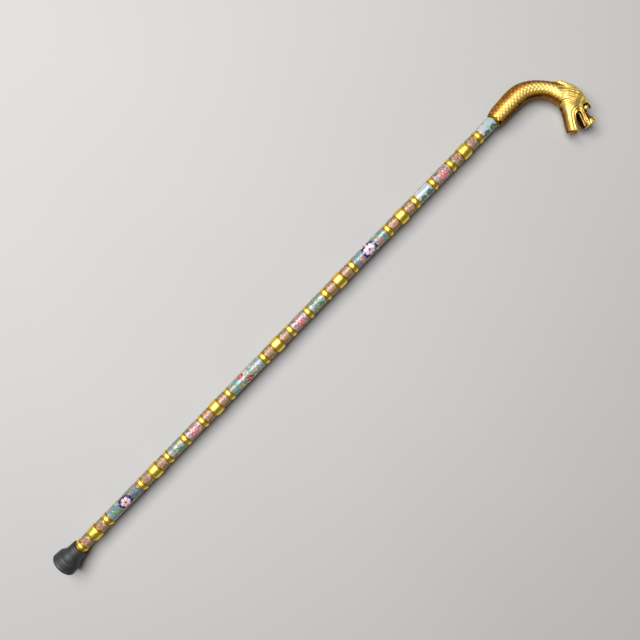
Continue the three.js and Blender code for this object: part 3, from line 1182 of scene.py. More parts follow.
@dataclass
class CoreAssembly:
    """The steel rod with its threads, and the sleeve, washer and nut that hold the beads."""

    axis: Axis
    rod_radius: float = 4.0
    root_radius: float = 3.45
    bore: float = CORE_BORE
    pitch: float = 1.5
    top_thread: float = 18.0
    bottom_thread: float = 12.0
    sleeve_radius: float = 8.2
    washer_radius: float = 7.8
    nut_flat: float = 6.5
    sides: int = 64

    def piece(self, name: str, mesh: bpy.types.Mesh, node: str, sharp: float = 40.0) -> None:
        """Finishes a steel piece of the shaft in place of its construction node."""
        finished(name, mesh, ZINC_STEEL, Body.SHAFT, [node], sharp)

    def rod(self) -> None:
        """Builds the rod, with a helical ridge swept round both threaded ends."""
        start, end = span("core_rod")
        bottom, top = start + self.bottom_thread, end - self.top_thread
        thin, thick = self.root_radius, self.rod_radius
        ease, ramp = 0.5, 0.6
        profile = [(start, 0.0), (start, thin - ease), (start + ease, thin), (bottom, thin)]
        profile += [(bottom + ramp, thick), (top - ramp, thick), (top, thin)]
        profile += [(end - ease, thin), (end, thin - ease), (end, 0.0)]
        rod = MeshDraft().add(*lathe(profile, self.axis, self.sides)).mesh("rod")
        lines = []
        for first, last in ((start + 0.9, bottom - 0.3), (top + 0.3, end - 0.9)):
            turns = (last - first) / self.pitch
            t = np.linspace(0, 1, int(turns * 24))
            fade = np.clip(np.minimum(t, 1 - t) * turns * 2, 0.15, 1)
            helix = self.axis.around(first + (last - first) * t, t * turns * 2 * math.pi, thin + 0.02)
            lines.append((helix, False, 0.5 * fade))
        values = {"Sides": 6, "Finish": ZINC_STEEL.material()}
        threads = swept_tree("thread_ridge", False).run(lines_mesh("threads", lines), values)
        self.piece("threaded_core_rod", joined_mesh("core_rod", [rod, threads]), "core_rod", sharp=30)

    def collars(self) -> None:
        """Builds the grooved sleeve and the washer, with eased edges."""
        grooves = {"end_sleeve": (0.3, 0.5, 0.7), "end_washer": ()}
        for node, radius in (("end_sleeve", self.sleeve_radius), ("end_washer", self.washer_radius)):
            first, last = span(node)
            corners = [(first, self.bore, 0.2), (first, radius, 0.4)]
            for at in (first + (last - first) * share for share in grooves[node]):
                corners += [(at - 0.5, radius, 0.1), (at - 0.3, radius - 0.3, 0.1)]
                corners += [(at + 0.3, radius - 0.3, 0.1), (at + 0.5, radius, 0.1)]
            corners += [(last, radius, 0.4), (last, self.bore, 0.2)]
            draft = MeshDraft().add(*lathe(round_corners(corners, 3), self.axis, self.sides))
            self.piece(node + "_turned", draft.mesh(node), node)

    def nut(self) -> None:
        """Builds the hexagon nut, with its corners chamfered at both faces."""
        first, last = span("end_nut")
        turns = circle(48)
        hexagon = self.nut_flat / np.cos((turns + math.pi / 6) % (math.pi / 3) - math.pi / 6)
        chamfered = np.minimum(hexagon, self.nut_flat * 1.01)
        outer = ((first, chamfered), (first + 0.7, hexagon), (last - 0.7, hexagon), (last, chamfered))
        rows = [*outer, (last, self.bore - 0.05), (first, self.bore - 0.05)]
        points = [self.axis.around(along, turns, radius) for along, radius in rows]
        draft = MeshDraft().add(np.vstack(points), ring_faces(len(rows), len(turns), False))
        self.piece("hex_end_nut", draft.mesh("end_nut"), "end_nut", sharp=25)

    def build(self) -> None:
        """Builds all of the steel pieces."""
        self.rod()
        self.collars()
        self.nut()


@dataclass
class GiltBead:
    """A turned gilt bead: a swelling belly between two fine lips."""

    node: str
    name: str
    axis: Axis
    radius: float
    end_radius: float
    round_length: float
    fullness: float
    body: Body = Body.SHAFT
    bore: float = CORE_BORE
    lip: float = 0.55
    groove: float = 0.3
    sides: int = 96

    def half(self, length: float) -> list[tuple[float, float, float]]:
        """Returns the section from one face to the middle, as places, radii and patina.

        Args:
            length: the bead's whole length.
        """
        rows = [(0.0, self.bore, 0.8), (0.0, self.end_radius - 0.25, 0.8)]
        for k, lean in enumerate(np.arange(5) / 4 * math.pi):
            rise = math.sin(lean)
            rows.append((self.lip * k / 4, self.end_radius - 0.22 * (1 - rise), 0.55 - 0.35 * rise))
        rows.append((self.lip + 0.15, self.end_radius - self.groove, 1.0))
        root = self.end_radius - 0.2
        for lean in np.arange(1, 13) / 12 * math.pi / 2:
            swell = math.sin(lean) ** self.fullness
            along = self.lip + 0.3 + (self.round_length - 0.3) * (1 - math.cos(lean))
            rows.append((along, root + (self.radius - root) * swell, (1 - swell) ** 0.9))
        return [row for row in rows if row[0] <= length / 2]

    def build(self) -> None:
        """Builds the bead in place of its construction node."""
        start, end = span(self.node)
        half = self.half(end - start)
        rows = [(start + x, r, p) for x, r, p in half] + [(end - x, r, p) for x, r, p in reversed(half)]
        points, faces = lathe([row[:2] for row in rows], self.axis, self.sides)
        patina = np.repeat([row[2] for row in rows], self.sides)
        draft = MeshDraft().add(points, faces, patina=patina)
        finished(self.name, draft.mesh(self.name), BEAD_GILT, self.body, [self.node], sharp=55)


# The dragon handle


@dataclass(frozen=True)
class CrookPath:
    """The crook's line: a straight neck, then an arc that bends towards -Y.

    A place on the handle is given by how far it is along X from the handle's foot and how far
    down from the shaft's axis towards -Y, or by its length along the line.
    """

    base: float
    axis: Axis
    neck: float = 39.5
    radius: float = 41.5

    def flat(self, across: np.ndarray, down: np.ndarray, out: np.ndarray | float) -> np.ndarray:
        """Returns row-frame points for places in the plane of the crook and beside it."""
        columns = (self.base + across, self.axis.y - down, self.axis.z + out + 0 * across)
        return np.column_stack(columns)

    def along(self, at: np.ndarray, height: np.ndarray, out: np.ndarray | float) -> np.ndarray:
        """Returns row-frame points for lengths along the line and heights over it."""
        at, height = np.asarray(at, float), np.asarray(height, float)
        turned = np.maximum(at - self.neck, 0) / self.radius
        across = np.minimum(at, self.neck) + (self.radius + height) * np.sin(turned)
        down = self.radius - (self.radius + height) * np.cos(turned)
        return self.flat(across, down, out)

    def unroll(self, across: np.ndarray, down: np.ndarray) -> tuple[np.ndarray, np.ndarray]:
        """Returns the length along the line and the height over it of places in its plane."""
        right, up = across - self.neck, self.radius - down
        bent = right > 0
        at = np.where(bent, self.neck + self.radius * np.arctan2(right, up), across)
        return at, np.where(bent, np.hypot(right, up), up) - self.radius


def smooth_through(places: Sequence[float], values: Sequence[float], at: np.ndarray) -> np.ndarray:
    """Returns a smooth curve through values, with a slope at each from its neighbours.

    Args:
        places: where the values are given, rising.
        values: the values.
        at: where the curve is wanted.
    """
    x, y = np.asarray(places, float), np.asarray(values, float)
    slope = np.gradient(y, x)
    k = np.clip(np.searchsorted(x, at) - 1, 0, len(x) - 2)
    width = x[k + 1] - x[k]
    t = np.clip((at - x[k]) / width, 0, 1)
    first, second = 2 * t**3 - 3 * t**2 + 1, t**3 - 2 * t**2 + t
    third, fourth = -2 * t**3 + 3 * t**2, t**3 - t**2
    return first * y[k] + second * width * slope[k] + third * y[k + 1] + fourth * width * slope[k + 1]


@dataclass
class ScaledNeck:
    """The crook's neck: a smooth keel, rows of scales on both sides, and a plated belly.

    The browns are given as angles in degrees from the back of the neck and a brown at each. They are patina
    with a painted sheen on the scales' top and painted shade on the flanks and the belly.
    """

    path: CrookPath
    at: tuple[float, ...] = (0, 7, 21, 38, 47, 56, 65, 74, 83, 91, 99, 107, 114)
    outside: tuple[float, ...] = (
        11.2, 12.5, 13.6, 14.1, 13.5, 11.9, 10.3, 9.3, 9.6, 11.2, 13.4, 15, 16,
    )
    inside: tuple[float, ...] = (
        11.2, 11.5, 11.8, 12.4, 12.6, 12.8, 12.8, 12.6, 12.2, 11.7, 10.9, 10.1, 9.2,
    )
    half: tuple[float, ...] = (
        11.2, 11.5, 11.9, 12.2, 12.2, 11.9, 11.5, 11.4, 11.6, 12.2, 12.8, 12.6, 11,
    )
    rows: int = 200
    columns: int = 128
    keel_rise: float = 1.0
    keel_width: float = 2.1
    keel_hollow: float = 0.35
    plate_pitch: float = 4.6
    plate_rise: float = 0.3
    socket_radius: float = CORE_BORE
    socket_depth: float = 18.75
    scale_pitch: float = 5.3
    scale_lines: tuple[float, ...] = (42.0, 59.5, 77.0, 94.5, 112.0, 129.5)
    # Patina with painted light: scales bright on top as a painted sheen, brown on the flanks partly as
    # painted shade.
    scale_patina_and_light: tuple[tuple[float, ...], ...] = (
        (0, 16, 28, 60, 78, 112, 123, 138, 180),
        (0.0, 0.35, 0.66, 0.62, 0.08, 0.04, 0.38, 0.68, 0.6),
    )
    # Patina with painted shade on the flanks and the belly.
    skin_patina_and_light: tuple[tuple[float, ...], ...] = (
        (0, 8, 14, 22, 40, 60, 100, 128, 140, 158, 180),
        (0.0, 0.1, 0.6, 0.85, 0.85, 0.6, 0.6, 0.95, 0.9, 0.75, 0.7),
    )
    socket_brown: float = 0.7

    def section(self, at: np.ndarray) -> tuple[np.ndarray, ...]:
        """Returns how far the skin is over, under and beside the line at lengths along it."""
        return tuple(smooth_through(self.at, way, at) for way in (self.outside, self.inside, self.half))

    def reach(self, at: np.ndarray, turn: np.ndarray) -> tuple[np.ndarray, np.ndarray]:
        """Returns the height over the line and the place beside it of points on the skin.

        Args:
            at: lengths along the line.
            turn: angles from the back of the neck round to its belly, in radians.
        """
        outside, inside, half = self.section(at)
        up, from_keel = np.cos(turn), np.abs(turn) * outside
        crest = self.keel_rise * np.exp(-1.1 * (from_keel / self.keel_width) ** 2)
        hollow = self.keel_hollow * np.exp(-(((from_keel - 4.4) / 1.5) ** 2))
        belly = np.exp(-(((math.pi - np.abs(turn)) / 0.5) ** 4))
        plate = belly * self.plate_rise * (((at / self.plate_pitch) % 1.0) ** 2 - 0.4)
        begun = climb(at, 3.0, 6.0) * climb(at, 104.0, -10.0)
        height = np.where(up > 0, outside, inside) * up + (crest - hollow - plate) * begun
        return height, half * np.sin(turn)

    def patina_and_light_on_scales(self, points: np.ndarray) -> np.ndarray:
        """Returns how much more brown the scales are at places in the row frame, in millimetres: patina,
        with a painted sheen on top and painted shade on the flanks.
        """
        _, height = self.path.unroll(points[:, 0] - self.path.base, self.path.axis.y - points[:, 1])
        degrees = np.degrees(np.arctan2(np.abs(points[:, 2] - self.path.axis.z), height))
        return np.interp(degrees, *self.scale_patina_and_light)

    def beside(self, places: np.ndarray) -> np.ndarray:
        """Returns how far beside the middle plane the neck's skin lies at places in that plane.

        Args:
            places: places across and down, one row each.
        """
        at, height = self.path.unroll(places[:, 0], places[:, 1])
        outside, inside, half = self.section(at)
        share = np.clip(height / np.where(height > 0, outside, inside), -1, 1)
        return half * np.sqrt(1 - share**2) * (at < self.at[-1])

    def brown(self, at: np.ndarray, degrees: np.ndarray) -> np.ndarray:
        """Returns how brown the skin is, patina with painted shade on the flanks and the belly: most
        between the belly's plates, least near the head.

        Args:
            at: lengths along the line.
            degrees: angles from the back of the neck.
        """
        fresh = 0.55 * climb(at, 84, 12) * (degrees < 125)
        held = np.interp(degrees, *self.skin_patina_and_light) * (1 - fresh) * (1 - 0.16 * climb(at, 70, 20))
        seam = np.exp(-((((at / self.plate_pitch) % 1.0) / 0.12) ** 2))
        return np.clip(held + seam * np.minimum(climb(degrees, 138, 16), 0.32), 0, 1)

    def skin(self) -> MeshDraft:
        """Returns the neck's closed skin, with the socket in its foot."""
        turn = circle(self.columns) - math.pi
        grids = np.meshgrid(np.linspace(0, self.at[-1], self.rows), turn, indexing="ij")
        at, turns = (grid.ravel() for grid in grids)
        hole = self.socket_radius * np.cos(turn), self.socket_radius * np.sin(turn)
        rings = [self.path.along(np.full(self.columns, depth), *hole) for depth in (self.socket_depth, 0.0)]
        ends = self.path.along(np.array([self.socket_depth, self.at[-1]]) + 2.0, np.zeros(2), 0.0)
        points = np.vstack([*rings, self.path.along(at, *self.reach(at, turns)), ends])
        patina = np.full(len(points), self.socket_brown)
        patina[2 * self.columns:-2] = self.brown(at, np.degrees(np.abs(turns)))
        return MeshDraft().add(points, ring_faces(self.rows + 2, self.columns, True), patina=patina)

    def scale_seats(self) -> tuple[np.ndarray, np.ndarray, np.ndarray, np.ndarray]:
        """Returns where the scales sit, the way each faces, its tail's way and its size."""
        seats, facing, tails, sizes = [], [], [], []
        for line, degrees in enumerate(self.scale_lines):
            last = 99.0 + 15.0 * climb(degrees, 60.0, 64.0) ** 1.5
            count = int((last - 3.0) / self.scale_pitch)
            at = 3.2 + (np.arange(count) + 0.5 * (line % 2)) * self.scale_pitch
            for side in (-1, 1):
                turn = np.full(count, side * math.radians(degrees))
                here = self.path.along(at, *self.reach(at, turn))
                ahead = self.path.along(at + 0.5, *self.reach(at + 0.5, turn))
                across = self.path.along(at, *self.reach(at, turn + 0.03))
                forward = ahead - here
                normal = np.cross(forward, across - here)
                normal /= np.linalg.norm(normal, axis=1)[:, None]
                centre = self.path.along(at, np.zeros(count), 0.0)
                normal *= np.sign(np.einsum("ij,ij->i", normal, here - centre))[:, None]
                seats.append(here)
                facing.append(normal)
                tails.append(-forward / np.linalg.norm(forward, axis=1)[:, None])
                stretch = np.sqrt(np.clip(np.linalg.norm(forward, axis=1) / 0.5, 0.5, 2))
                sizes.append(stretch * np.interp(at, (0, 10, 90, 112), (0.9, 1.0, 1.0, 0.85)))
        return tuple(np.concatenate(group) for group in (seats, facing, tails, sizes))

    def scale_shape(self) -> MeshDraft:
        """Returns one shield-shaped scale with a low ridge, its free end along X."""
        t = circle(14)
        half_length, half_width = 0.66 * self.scale_pitch, 0.58 * self.scale_pitch
        x = half_length * np.cos(t)
        y = half_width * np.sin(t) * (1 - 0.12 * np.cos(t))
        rows = []
        for share, rise in ((1.0, -0.6), (1.0, 0.05), (0.9, 0.28), (0.5, 0.38)):
            ridge = 0.12 * (1 - np.abs(y / half_width)) * (share < 0.95)
            lift = (0.2 + 0.2 * x / half_length) * (rise > 0)
            rows.append(np.column_stack([x * share, y * share, rise + ridge + lift]))
        points = np.vstack([*rows, [[0, 0, -0.6], [0, 0, 0.7]]])
        brown = np.array([*np.repeat((1.0, 0.6, 0.1, 0.0), len(t)), 1.0, 0.0])
        return MeshDraft().add(points, ring_faces(len(rows), len(t), True), patina=brown)

    def scales(self) -> bpy.types.Mesh:
        """Returns the overlapping scales, set on their seats by a tree."""
        tree = GeometryTree("scale_rows", {"Shape": "NodeSocketObject"})
        points = tree.wiring.add("GeometryNodeMeshToPoints", {"Mesh": tree.given["Geometry"]}).outputs[0]
        turned = {"Z": tree.named("facing", "FLOAT_VECTOR"), "X": tree.named("tail", "FLOAT_VECTOR")}
        tree.stud(points, turned, tree.named("size"))
        seats, facing, tails, sizes = self.scale_seats()
        host = bpy.data.meshes.new("scale_seats")
        host.from_pydata((seats * MM).tolist(), [], [])
        store(host, "facing", facing, "FLOAT_VECTOR")
        store(host, "tail", tails, "FLOAT_VECTOR")
        store(host, "size", sizes)
        made = tree.run_studded(host, self.scale_shape())
        # Adds the scales' patina, painted sheen and painted shade by their angle.
        store(made, "patina", np.clip(patina_of(made) + self.patina_and_light_on_scales(places_of(made) / MM), 0, 1))
        return made

    def build(self) -> None:
        """Builds the skin and the scales as one piece of the handle."""
        meshes = [self.skin().mesh("neck_skin"), self.scales()]
        cast("scaled_neck", joined_mesh("scaled_neck", meshes), sharp=45)


def cast(name: str, mesh: bpy.types.Mesh, sharp: float) -> None:
    """Finishes a piece of the cast handle, whose edges over some degrees stay crisp."""
    finished(name, mesh, CAST_GILT, Body.HANDLE, ["dragon_handle"], sharp)


def beside_line(across: np.ndarray, down: np.ndarray, line: np.ndarray) -> tuple[np.ndarray, np.ndarray]:
    """Returns how far along a line each place lies, from 0 to 1, and how far it is from it.

    Args:
        across: the places across.
        down: the places down.
        line: the line's two ends.
    """
    start, step = line[0, :2], line[1, :2] - line[0, :2]
    t = ((across - start[0]) * step[0] + (down - start[1]) * step[1]) / max(step @ step, 1e-6)
    t = np.clip(t, 0, 1)
    return t, np.hypot(across - start[0] - t * step[0], down - start[1] - t * step[1])


@dataclass(frozen=True)
class Mass:
    """A swelling and tapering mass of the head.

    Each point of its path is a place across and down in the plane of the crook, a place beside
    that plane, a radius and half a thickness. A squareness over 2 makes its sections boxier.
    """

    path: tuple[tuple[float, float, float, float, float], ...]
    blend: float = 2.0
    square: float = 2.0
    hollow: bool = False


@dataclass(frozen=True)
class Lock:
    """A raised strand that lies on the head, with its girth at its root, middle and end."""

    path: tuple[tuple[float, float], ...]
    girths: tuple[float, float, float]
    sink: float = 0.25
    blend: float = 0.3


@dataclass
class DragonHead:
    """The dragon's head, sculpted as a field of blended masses and then cut into a mesh."""

    neck: ScaledNeck
    masses: tuple[Mass, ...]
    locks: tuple[Lock, ...]
    pits: tuple[Mass, ...]
    step: float = 0.42
    low: tuple[float, float] = (47.0, 12.0)
    high: tuple[float, float] = (104.6, 96.0)
    deep: float = 16.4
    far: float = 8.0
    nose: float = 93.3
    jaw_side: float = 74.0
    fold_pitch: float = 3.6
    fold_depth: float = 0.34
    fold_reach: float = 9.0
    wrinkle_pitch: float = 2.4
    wrinkle_depth: float = 0.22
    cheek: tuple[float, float] = (66.7, 60.1)
    hair_pitch: float = 3.2
    hair_depth: float = 0.3
    mouth: tuple[tuple[float, float], ...] = (
        (73.2, 89.2), (78.5, 76.6), (79.6, 73.0), (78.6, 70.2), (75.8, 71.2), (67.4, 84.0),
    )
    # The browns of the belly, of the jaw's cut end and of the snout's front are painted shade.
    base_brown: float = 0.1
    hollow_brown: float = 2.2
    belly_shade: float = 0.5
    side_brown: float = 0.32
    cut_end_shade: float = 0.34
    snout_front_shade: float = 0.68

    def __post_init__(self) -> None:
        """Lays out the grid over one side of the head."""
        self.path = self.neck.path
        across = np.arange(self.low[0], self.high[0], self.step)
        down = np.arange(self.low[1], self.high[1], self.step)
        out = np.arange(0, self.deep + self.step, self.step)
        self.grid = across[:, None, None], down[None, :, None], out[None, None, :]
        self.field = np.full((len(across), len(down), len(out)), self.far)

    def block(self, lows: Sequence[float], highs: Sequence[float]) -> tuple[slice, slice, slice]:
        """Returns the part of the grid between two corners."""
        made = []
        for axis, low, high in zip(self.grid, lows, highs):
            values = axis.ravel()
            made.append(slice(np.searchsorted(values, low), np.searchsorted(values, high) + 1))
        return tuple(made)

    def blend_in(self, mass: Mass) -> None:
        """Joins a mass to the field, or hollows the field with it.

        Args:
            mass: the mass.
        """
        path = np.array(mass.path)
        spare = mass.blend + 1.5
        room = path[:, 3].max() + spare
        lows = path[:, :2].min(0) - room
        highs = path[:, :2].max(0) + room
        thick = (path[:, 2] + path[:, 4]).max() + spare
        where = self.block((*lows, -1.0), (*highs, thick))
        across, down, out = self.grid[0][where[0]], self.grid[1][:, where[1]], self.grid[2][:, :, where[2]]
        distance = np.inf
        for start, end in zip(path[:-1], path[1:]):
            t, flat = beside_line(across, down, np.array([start, end]))
            middle, radius, half = (start[k] + t * (end[k] - start[k]) for k in (2, 3, 4))
            beside = np.abs(out - middle) * radius / half
            part = (flat**mass.square + beside**mass.square) ** (1 / mass.square) - radius
            distance = np.minimum(distance, part)
        way = -1 if mass.hollow else 1
        here = way * self.field[where]
        h = np.clip(0.5 + 0.5 * (here - distance) / mass.blend, 0, 1)
        self.field[where] = way * (here * (1 - h) + distance * h - mass.blend * h * (1 - h))

    def surface(self, places: np.ndarray) -> np.ndarray:
        """Returns how far beside the middle plane the head's skin lies at some places."""
        across, down, out = (axis.ravel() for axis in self.grid)
        i = np.clip(np.searchsorted(across, places[:, 0]), 0, len(across) - 1)
        j = np.clip(np.searchsorted(down, places[:, 1]), 0, len(down) - 1)
        columns = self.field[i, j]
        inside = columns < 0
        last = inside.shape[1] - 1 - inside[:, ::-1].argmax(1)
        return np.where(inside.any(1), out[last], 0.0)

    def lay(self, lock: Lock) -> Mass:
        """Returns a lock as a mass that follows the skin of the head and the neck.

        Args:
            lock: the lock.
        """
        given = np.array(lock.path)
        at = np.linspace(0, 1, 4 * len(given) - 3)
        knots = np.linspace(0, 1, len(given))
        places = np.column_stack([smooth_through(knots, given[:, k], at) for k in (0, 1)])
        girth = np.interp(at, (0, 0.5, 1), lock.girths)
        skin = np.maximum(self.surface(places), self.neck.beside(places) + 0.3)
        out = np.maximum(skin - lock.sink * girth, 0.0)
        return Mass(tuple(zip(places[:, 0], places[:, 1], out, girth, girth)), lock.blend)

    def from_mouth(self, across: np.ndarray, down: np.ndarray) -> np.ndarray:
        """Returns how far places in the plane of the crook lie from the edge of the mouth."""
        edge = np.array(self.mouth)
        sides = (edge[k:k + 2] for k in range(len(edge) - 1))
        return np.minimum.reduce([beside_line(across, down, side)[1] for side in sides])

    def folds(self) -> np.ndarray:
        """Returns the relief of the lip folds and the cheek's wrinkles over the grid."""
        across, down, out = self.grid
        nearest = self.from_mouth(across, down)
        lips = climb(nearest, self.fold_reach, -2.5) * climb(nearest, 0, 0.8)
        lips = lips * np.cos(nearest * 2 * math.pi / self.fold_pitch)
        ring = np.hypot(across - self.cheek[0], down - self.cheek[1])
        wave = ring + 0.2 * np.sin(down * 0.9 + across * 0.35) + 0.15 * np.sin(across * 1.1)
        cheek = climb(nearest, self.fold_reach, 2.0) * climb(ring, 30.5, -1.5)
        cheek = cheek * climb(down, 29.0, 4.0) * climb(ring, 9.0, 3.0)
        lines = np.cos(wave * 2 * math.pi / self.wrinkle_pitch) * cheek
        from_bend = np.hypot(across - self.path.neck, down - self.path.radius)
        crest = climb(from_bend, 54.0, 2.0) * climb(down, 60.0, -5.0)
        hair = np.cos(out * 2 * math.pi / self.hair_pitch) * crest
        sides = climb(out, 3.5, 3.0)
        return (self.fold_depth * lips + self.wrinkle_depth * lines) * sides + self.hair_depth * hair

    def sculpt(self) -> None:
        """Blends the masses, lays the locks on them and presses in the folds and pits."""
        for mass in self.masses:
            self.blend_in(mass)
        laid = [self.lay(lock) for lock in self.locks]
        self.field = self.field + self.folds()
        for mass in (*laid, *self.pits):
            self.blend_in(mass)
        across, down, _ = self.grid
        cut_jaw = np.maximum(self.field, self.past_jaw(across, down))
        self.field = np.where(across < self.jaw_side, cut_jaw, self.field)
        self.field = np.maximum(self.field, down - self.nose)

    @staticmethod
    def past_jaw(across: np.ndarray, down: np.ndarray) -> np.ndarray:
        """Returns how far places in the plane of the crook lie past the lower jaw's cut end."""
        return 0.673 * down - 0.74 * across - 12.6

    def mesh(self) -> MeshDraft:
        """Cuts the mirrored field into a closed mesh of quads, with its patina."""
        field = np.concatenate([self.field[:, :, :0:-1], self.field], axis=2)
        origin = np.array([*self.low, -(self.field.shape[2] - 1) * self.step])
        points, faces = surface_nets(field)
        points = origin + self.step * points
        skin = QuadSkin(self.path.flat(*points.T), faces)
        skin.points = skin.eased(skin.points, 2)
        return MeshDraft().add(skin.points, faces, patina=self.patina(points, skin))

    def patina(self, points: np.ndarray, skin: QuadSkin) -> np.ndarray:
        """Returns how brown the head is at points of its skin.

        It is brown with patina in hollows and in the eyes' sockets, brown near the middle plane, and brown
        with painted shade on the mouth's inner walls, under the jaw, on the jaw's cut end and along the
        snout's front.

        Args:
            points: their places across, down and beside the plane of the crook.
            skin: the skin.
        """
        across, down, out = points.T
        steep = climb(np.abs(skin.normals()[:, 2]), 0.8, -0.3)
        # Painted shade on the mouth's inner walls.
        mouth_wall_shade = steep * climb(self.from_mouth(across, down), 3.4, -1.2)
        # Painted shade on the throat and under the jaw.
        throat = climb(across + 0.35 * np.maximum(down - 52, 0), 72.5, -2.5) * climb(down, 60, -6)
        under_jaw = climb(0.83 * across + 0.56 * down, 92.0, -2.6) * climb(down, 52, 6)
        belly = np.maximum(throat, 0.8 * under_jaw)
        cavity = skin.eased(skin.hollowness(), 2) * (1 - 0.75 * belly)
        from_eye = np.linalg.norm(np.abs(points) - HeadDetails.eye, axis=1)
        socket = climb(from_eye, HeadDetails.eye_radius + 2.9, -1.2)
        # Painted shade on the jaw's cut end.
        cut = climb(self.past_jaw(across, down), -0.5, 0.3) * (across < self.jaw_side)
        held = self.base_brown + self.hollow_brown * cavity + self.belly_shade * belly + mouth_wall_shade + socket
        held += self.side_brown * climb(np.abs(out), 7.5, -6) + self.cut_end_shade * cut
        # Painted shade along the snout's front.
        front = climb(across + 0.4 * np.minimum(down - 76.6, 6), 82.4, 1.1) * climb(down, 74.0, 2.0)
        snout = self.snout_front_shade * front * np.maximum(climb(down, 89.5, -2.5), 0.15)
        return np.clip(np.maximum(held, 0) + snout, 0, 1)

    def build(self) -> None:
        """Builds the head."""
        self.sculpt()
        cast("dragon_head", self.mesh().mesh("dragon_head"), sharp=80)


def surface_nets(field: np.ndarray) -> tuple[np.ndarray, np.ndarray]:
    """Cuts a field into a closed mesh of quads where it crosses zero.

    Args:
        field: values on a grid, below zero inside.

    Returns:
        The vertices, in steps of the grid, and the faces.
    """
    inside = field < 0
    shape = tuple(n - 1 for n in field.shape)
    corners = np.zeros(shape, int)
    for shift in product((0, 1), repeat=3):
        corners += inside[tuple(slice(k, k + n) for k, n in zip(shift, shape))]
    mixed = (corners > 0) & (corners < 8)
    number = np.full(shape, -1)
    cells = np.argwhere(mixed)
    number[mixed] = np.arange(len(cells))
    total, hits = np.zeros((len(cells), 3)), np.zeros(len(cells))
    faces = []
    for axis in range(3):
        along = np.eye(3, dtype=int)[axis]
        one, two = (np.eye(3, dtype=int)[(axis + k) % 3] for k in (1, 2))
        for p, q in product((0, 1), repeat=2):
            first = cells + p * one + q * two
            second = first + along
            a, b = field[tuple(first.T)], field[tuple(second.T)]
            crossed = (a < 0) != (b < 0)
            share = a[crossed] / (a[crossed] - b[crossed])
            total[crossed] += first[crossed] + share[:, None] * along
            hits[crossed] += 1
        low = [slice(1, n) for n in shape]
        low[axis] = slice(0, shape[axis])
        edges = np.argwhere(np.ones([s.stop - s.start for s in low], bool)) + [s.start for s in low]
        starts, ends = inside[tuple(edges.T)], inside[tuple((edges + along).T)]
        for way in (True, False):
            chosen = edges[(starts != ends) & (starts == way)]
            ring = [chosen, chosen - one, chosen - one - two, chosen - two]
            quads = np.column_stack([number[tuple(cell.T)] for cell in ring])
            faces.append(quads if way else quads[:, ::-1])
    return total / hits[:, None], np.vstack(faces)


@dataclass
class QuadSkin:
    """A closed skin of quads, with what its vertices' neighbours tell about it."""

    points: np.ndarray
    faces: np.ndarray

    def __post_init__(self) -> None:
        """Finds each vertex's neighbours."""
        self.first, self.second = self.faces.ravel(), np.roll(self.faces, -1, axis=1).ravel()
        count = len(self.points)
        self.degree = np.bincount(self.first, minlength=count) + np.bincount(self.second, minlength=count)

    def averaged(self, values: np.ndarray) -> np.ndarray:
        """Returns the mean of each vertex's neighbours' values."""
        count = len(self.points)
        there = np.bincount(self.first, values[self.second], count)
        back = np.bincount(self.second, values[self.first], count)
        return (there + back) / self.degree

    def eased(self, values: np.ndarray, rounds: int, share: float = 0.5) -> np.ndarray:
        """Returns values drawn towards their neighbours', with one or three to a vertex.

        Args:
            values: the values.
            rounds: how many times.
            share: how far each time.
        """
        columns = values.reshape(len(values), -1).T
        for _ in range(rounds):
            columns = [(1 - share) * column + share * self.averaged(column) for column in columns]
        return np.array(columns).T.reshape(values.shape)

    def normals(self) -> np.ndarray:
        """Returns the outward normal at each vertex."""
        corners = self.points[self.faces]
        across = np.cross(corners[:, 2] - corners[:, 0], corners[:, 3] - corners[:, 1])
        if np.einsum("ij,ij->", corners[:, 0] - self.points.mean(0), across) < 0:
            across = -across
        total = np.zeros_like(self.points)
        for k in range(4):
            np.add.at(total, self.faces[:, k], across)
        return total / np.maximum(np.linalg.norm(total, axis=1), 1e-9)[:, None]

    def hollowness(self, rounds: int = 5) -> np.ndarray:
        """Returns how deep in a hollow each vertex lies: over zero in grooves, under it on ridges.

        Args:
            rounds: how far the measure reaches, in edges.
        """
        sunk = self.eased(self.points, rounds, 0.6) - self.points
        return np.einsum("ij,ij->i", sunk, self.normals()) / 0.35


